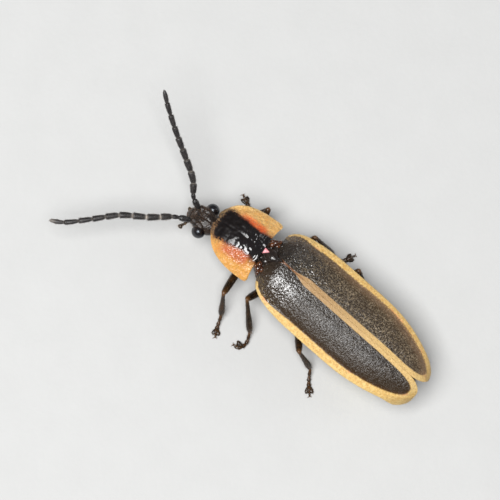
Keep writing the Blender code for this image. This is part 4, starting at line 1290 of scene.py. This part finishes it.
def make_camera():
    """A long lens almost straight above, turned so that the head points to the upper left."""
    left = Vector((math.cos(VIEW_TILT), 0.0, -math.sin(VIEW_TILT)))
    rear = Vector((0.0, 1.0, 0.0))
    right = -math.cos(VIEW_TURN) * left + math.sin(VIEW_TURN) * rear
    up = -math.sin(VIEW_TURN) * left - math.cos(VIEW_TURN) * rear
    right.normalize()
    back = right.cross(up).normalized()
    up = back.cross(right)
    aim = SCUTELLUM - right * SCUTELLUM_RIGHT + up * SCUTELLUM_DOWN
    data = bpy.data.cameras.new("camera")
    data.sensor_width = SENSOR
    data.lens = SENSOR * VIEW_DISTANCE / VIEW_WIDTH
    data.clip_start = 0.01
    data.clip_end = 10.0
    camera = linked("camera", data)
    place = TO_WORLD @ (aim + back * VIEW_DISTANCE)
    turn = Matrix((right, up, back)).transposed().to_4x4()
    camera.matrix_world = Matrix.Translation(place) @ turn
    bpy.context.scene.camera = camera


def make_light(name, direction, distance, size, power):
    """A soft square light that shines on the insect."""
    data = bpy.data.lights.new(name, "AREA")
    data.size = size
    data.energy = power
    light = linked(name, data)
    away = Vector(direction).normalized()
    light.location = SHIFT + Vector((0.0, 0.002, 0.002)) + away * distance
    light.rotation_mode = "QUATERNION"
    light.rotation_quaternion = (-away).to_track_quat("-Z", "Y")


def make_stage():
    """A pale floor, a soft surrounding light and two soft lamps."""
    mesh = bpy.data.meshes.new("floor")
    corners = ((-1, -1), (1, -1), (1, 1), (-1, 1))
    mesh.from_pydata([(x * FLOOR_REACH, y * FLOOR_REACH, 0.0) for x, y in corners], [], [(0, 1, 2, 3)])
    mesh.materials.append(floor_material())
    floor = linked("floor", mesh)
    world = bpy.data.worlds.new("surround")
    world.use_nodes = True
    background = world.node_tree.nodes["Background"]
    background.inputs["Color"].default_value = SURROUND
    background.inputs["Strength"].default_value = SURROUND_STRENGTH
    bpy.context.scene.world = world
    for name, settings in LIGHTS.items():
        make_light(name, *settings)
    bpy.context.scene.view_settings.view_transform = "Standard"
    bpy.context.scene.view_settings.look = "None"


def make_wing_case(name, side, surface, down, golden, pale_hair):
    """A wing case with its down, the pale down on its tan and the fringe along its edge."""
    top, unwrap, edge, seam, back = make_elytron(name, side, surface)
    stripe = np.where(back > 1.0, 0.05 + 0.15 * smoothstep(1.0, 1.9, back), 0.0)
    tan = (edge < MARGIN_WIDTH) | (seam < stripe)
    dark = np.where(tan, 0.0, 1.0) * (0.06 + 0.94 * smoothstep(0.25, 0.9, back))
    dark = dark * (0.4 + 0.6 * smoothstep(0.3, 1.2, edge))
    make_coat(f"{name}_down", down, "wing_case", *grid_roots(top, unwrap, 620, dark), 0.06, 0.006, 0.14, 0.35)
    roots = grid_roots(top, unwrap, 420, 1.0 * tan)
    make_coat(f"{name}_pale_down", golden, "wing_case", *roots, 0.055, 0.006, 0.4)
    roots, normal, _, places = grid_roots(top, unwrap, 700, 1.0 * ((edge < 0.07) & (back > 0.4)))
    rearward = 0.6 + 1.2 * smoothstep(6.5, 8.4, roots[:, 1])
    outward = np.column_stack((np.full(len(roots), side), rearward, np.full(len(roots), -0.35)))
    make_coat(f"{name}_fringe", pale_hair, "wing_case", roots, normal, outward, places,
              0.075, 0.006, 0.1, 0.35)


def main():
    """Builds every visible piece."""
    black = plate_material("black_plate", (0.01, 0.007, 0.006), (0.026, 0.016, 0.011), 0.22, 0.006, 0.3)
    brow = plate_material("head_plate", (0.01, 0.007, 0.006), (0.03, 0.017, 0.01), 0.3, 0.012)
    amber = plate_material("amber_plate", (0.03, 0.009, 0.004), (0.16, 0.05, 0.012), 0.16, 0.003, 0.7)
    pink = plate_material("base_skin", (0.82, 0.24, 0.28), (0.85, 0.38, 0.4), 0.35, 0.006)
    jaw = plate_material("jaw", (0.02, 0.008, 0.004), (0.1, 0.03, 0.01), 0.22, 0.006, 0.3)
    copper_hair = hair_material("copper_hair", (0.05, 0.025, 0.012), (0.42, 0.27, 0.17))
    leg, feeler, eye = leg_material(), feeler_material(), eye_material()
    belly, lantern = belly_material(), lantern_material()
    shield, wing_case = shield_material(), wing_case_material()
    silver = hair_material("silver_hair", (0.034, 0.027, 0.022), (0.37, 0.35, 0.31), 0.2)
    golden = hair_material("golden_hair", (0.4, 0.24, 0.08), (0.8, 0.6, 0.3))
    bronze = hair_material("bronze_hair", (0.04, 0.028, 0.017), (0.44, 0.35, 0.23), 0.25)
    brown_hair = hair_material("brown_hair", (0.04, 0.022, 0.01), (0.3, 0.2, 0.1))
    fringe = hair_material("fringe_hair", (0.05, 0.04, 0.036), (0.34, 0.28, 0.24), 0.3)
    pale_hair = hair_material("pale_hair", (0.6, 0.4, 0.13), (0.84, 0.66, 0.32), 0.5)

    make_camera()
    make_stage()
    make_wing_case("elytron_left", 1.0, wing_case, silver, golden, pale_hair)
    make_wing_case("elytron_right", -1.0, wing_case, bronze, golden, pale_hair)
    top, unwrap, out = make_pronotum(shield)
    roots, normal, lie, places = grid_roots(top, unwrap, 420, np.where(np.abs(out) > 0.66, 1.0, 0.0))
    make_coat("pronotum_down", golden, "shield", roots, normal, -lie, places, 0.06, 0.006, 0.5, 0.5)
    thorax = make_thorax(belly_material("thorax", THORAX_CREASES))
    make_coat("thorax_down", brown_hair, "belly", *mesh_roots(thorax, 110), 0.1, 0.008, 0.45, 0.4)
    for shape, name in zip(make_abdomen(belly, lantern), ("abdomen", "lantern", "abdomen_end")):
        density = 50 if name == "lantern" else 150
        make_coat(f"{name}_down", golden, "belly", *mesh_roots(shape, density), 0.1, 0.007, 0.4, 0.3)
    head = make_head(brow, jaw)
    make_coat("head_down", copper_hair, "black_plate", *head, 0.07, 0.006, 0.5, 0.5)
    make_eyes(eye)
    for name, shape in zip(("left", "right"), make_palps(leg)):
        make_coat(f"palp_{name}_down", golden, "leg", *mesh_roots(shape, 500), 0.05, 0.006, 0.6, 0.3)
    for side in ("left", "right"):
        shape = make_antenna(side, feeler)
        roots = mesh_roots(shape, 430)
        downy = np.linalg.norm(roots[0] - np.array(ANTENNA_PATHS[side][0]), axis=1) > 0.72
        roots = [rows[downy] for rows in roots]
        make_coat(f"antenna_{side}_down", fringe, "feeler", *roots, 0.058, 0.006, 0.75, 0.25)
    for name in LEGS:
        shape = make_leg(name, leg)
        make_coat(f"{name}_bristles", brown_hair, "leg", *mesh_roots(shape, 190), 0.08, 0.0065, 0.5, 0.25)
    make_scutellum(black)
    make_wing_bases(amber)
    make_base_skin(pink)


main()
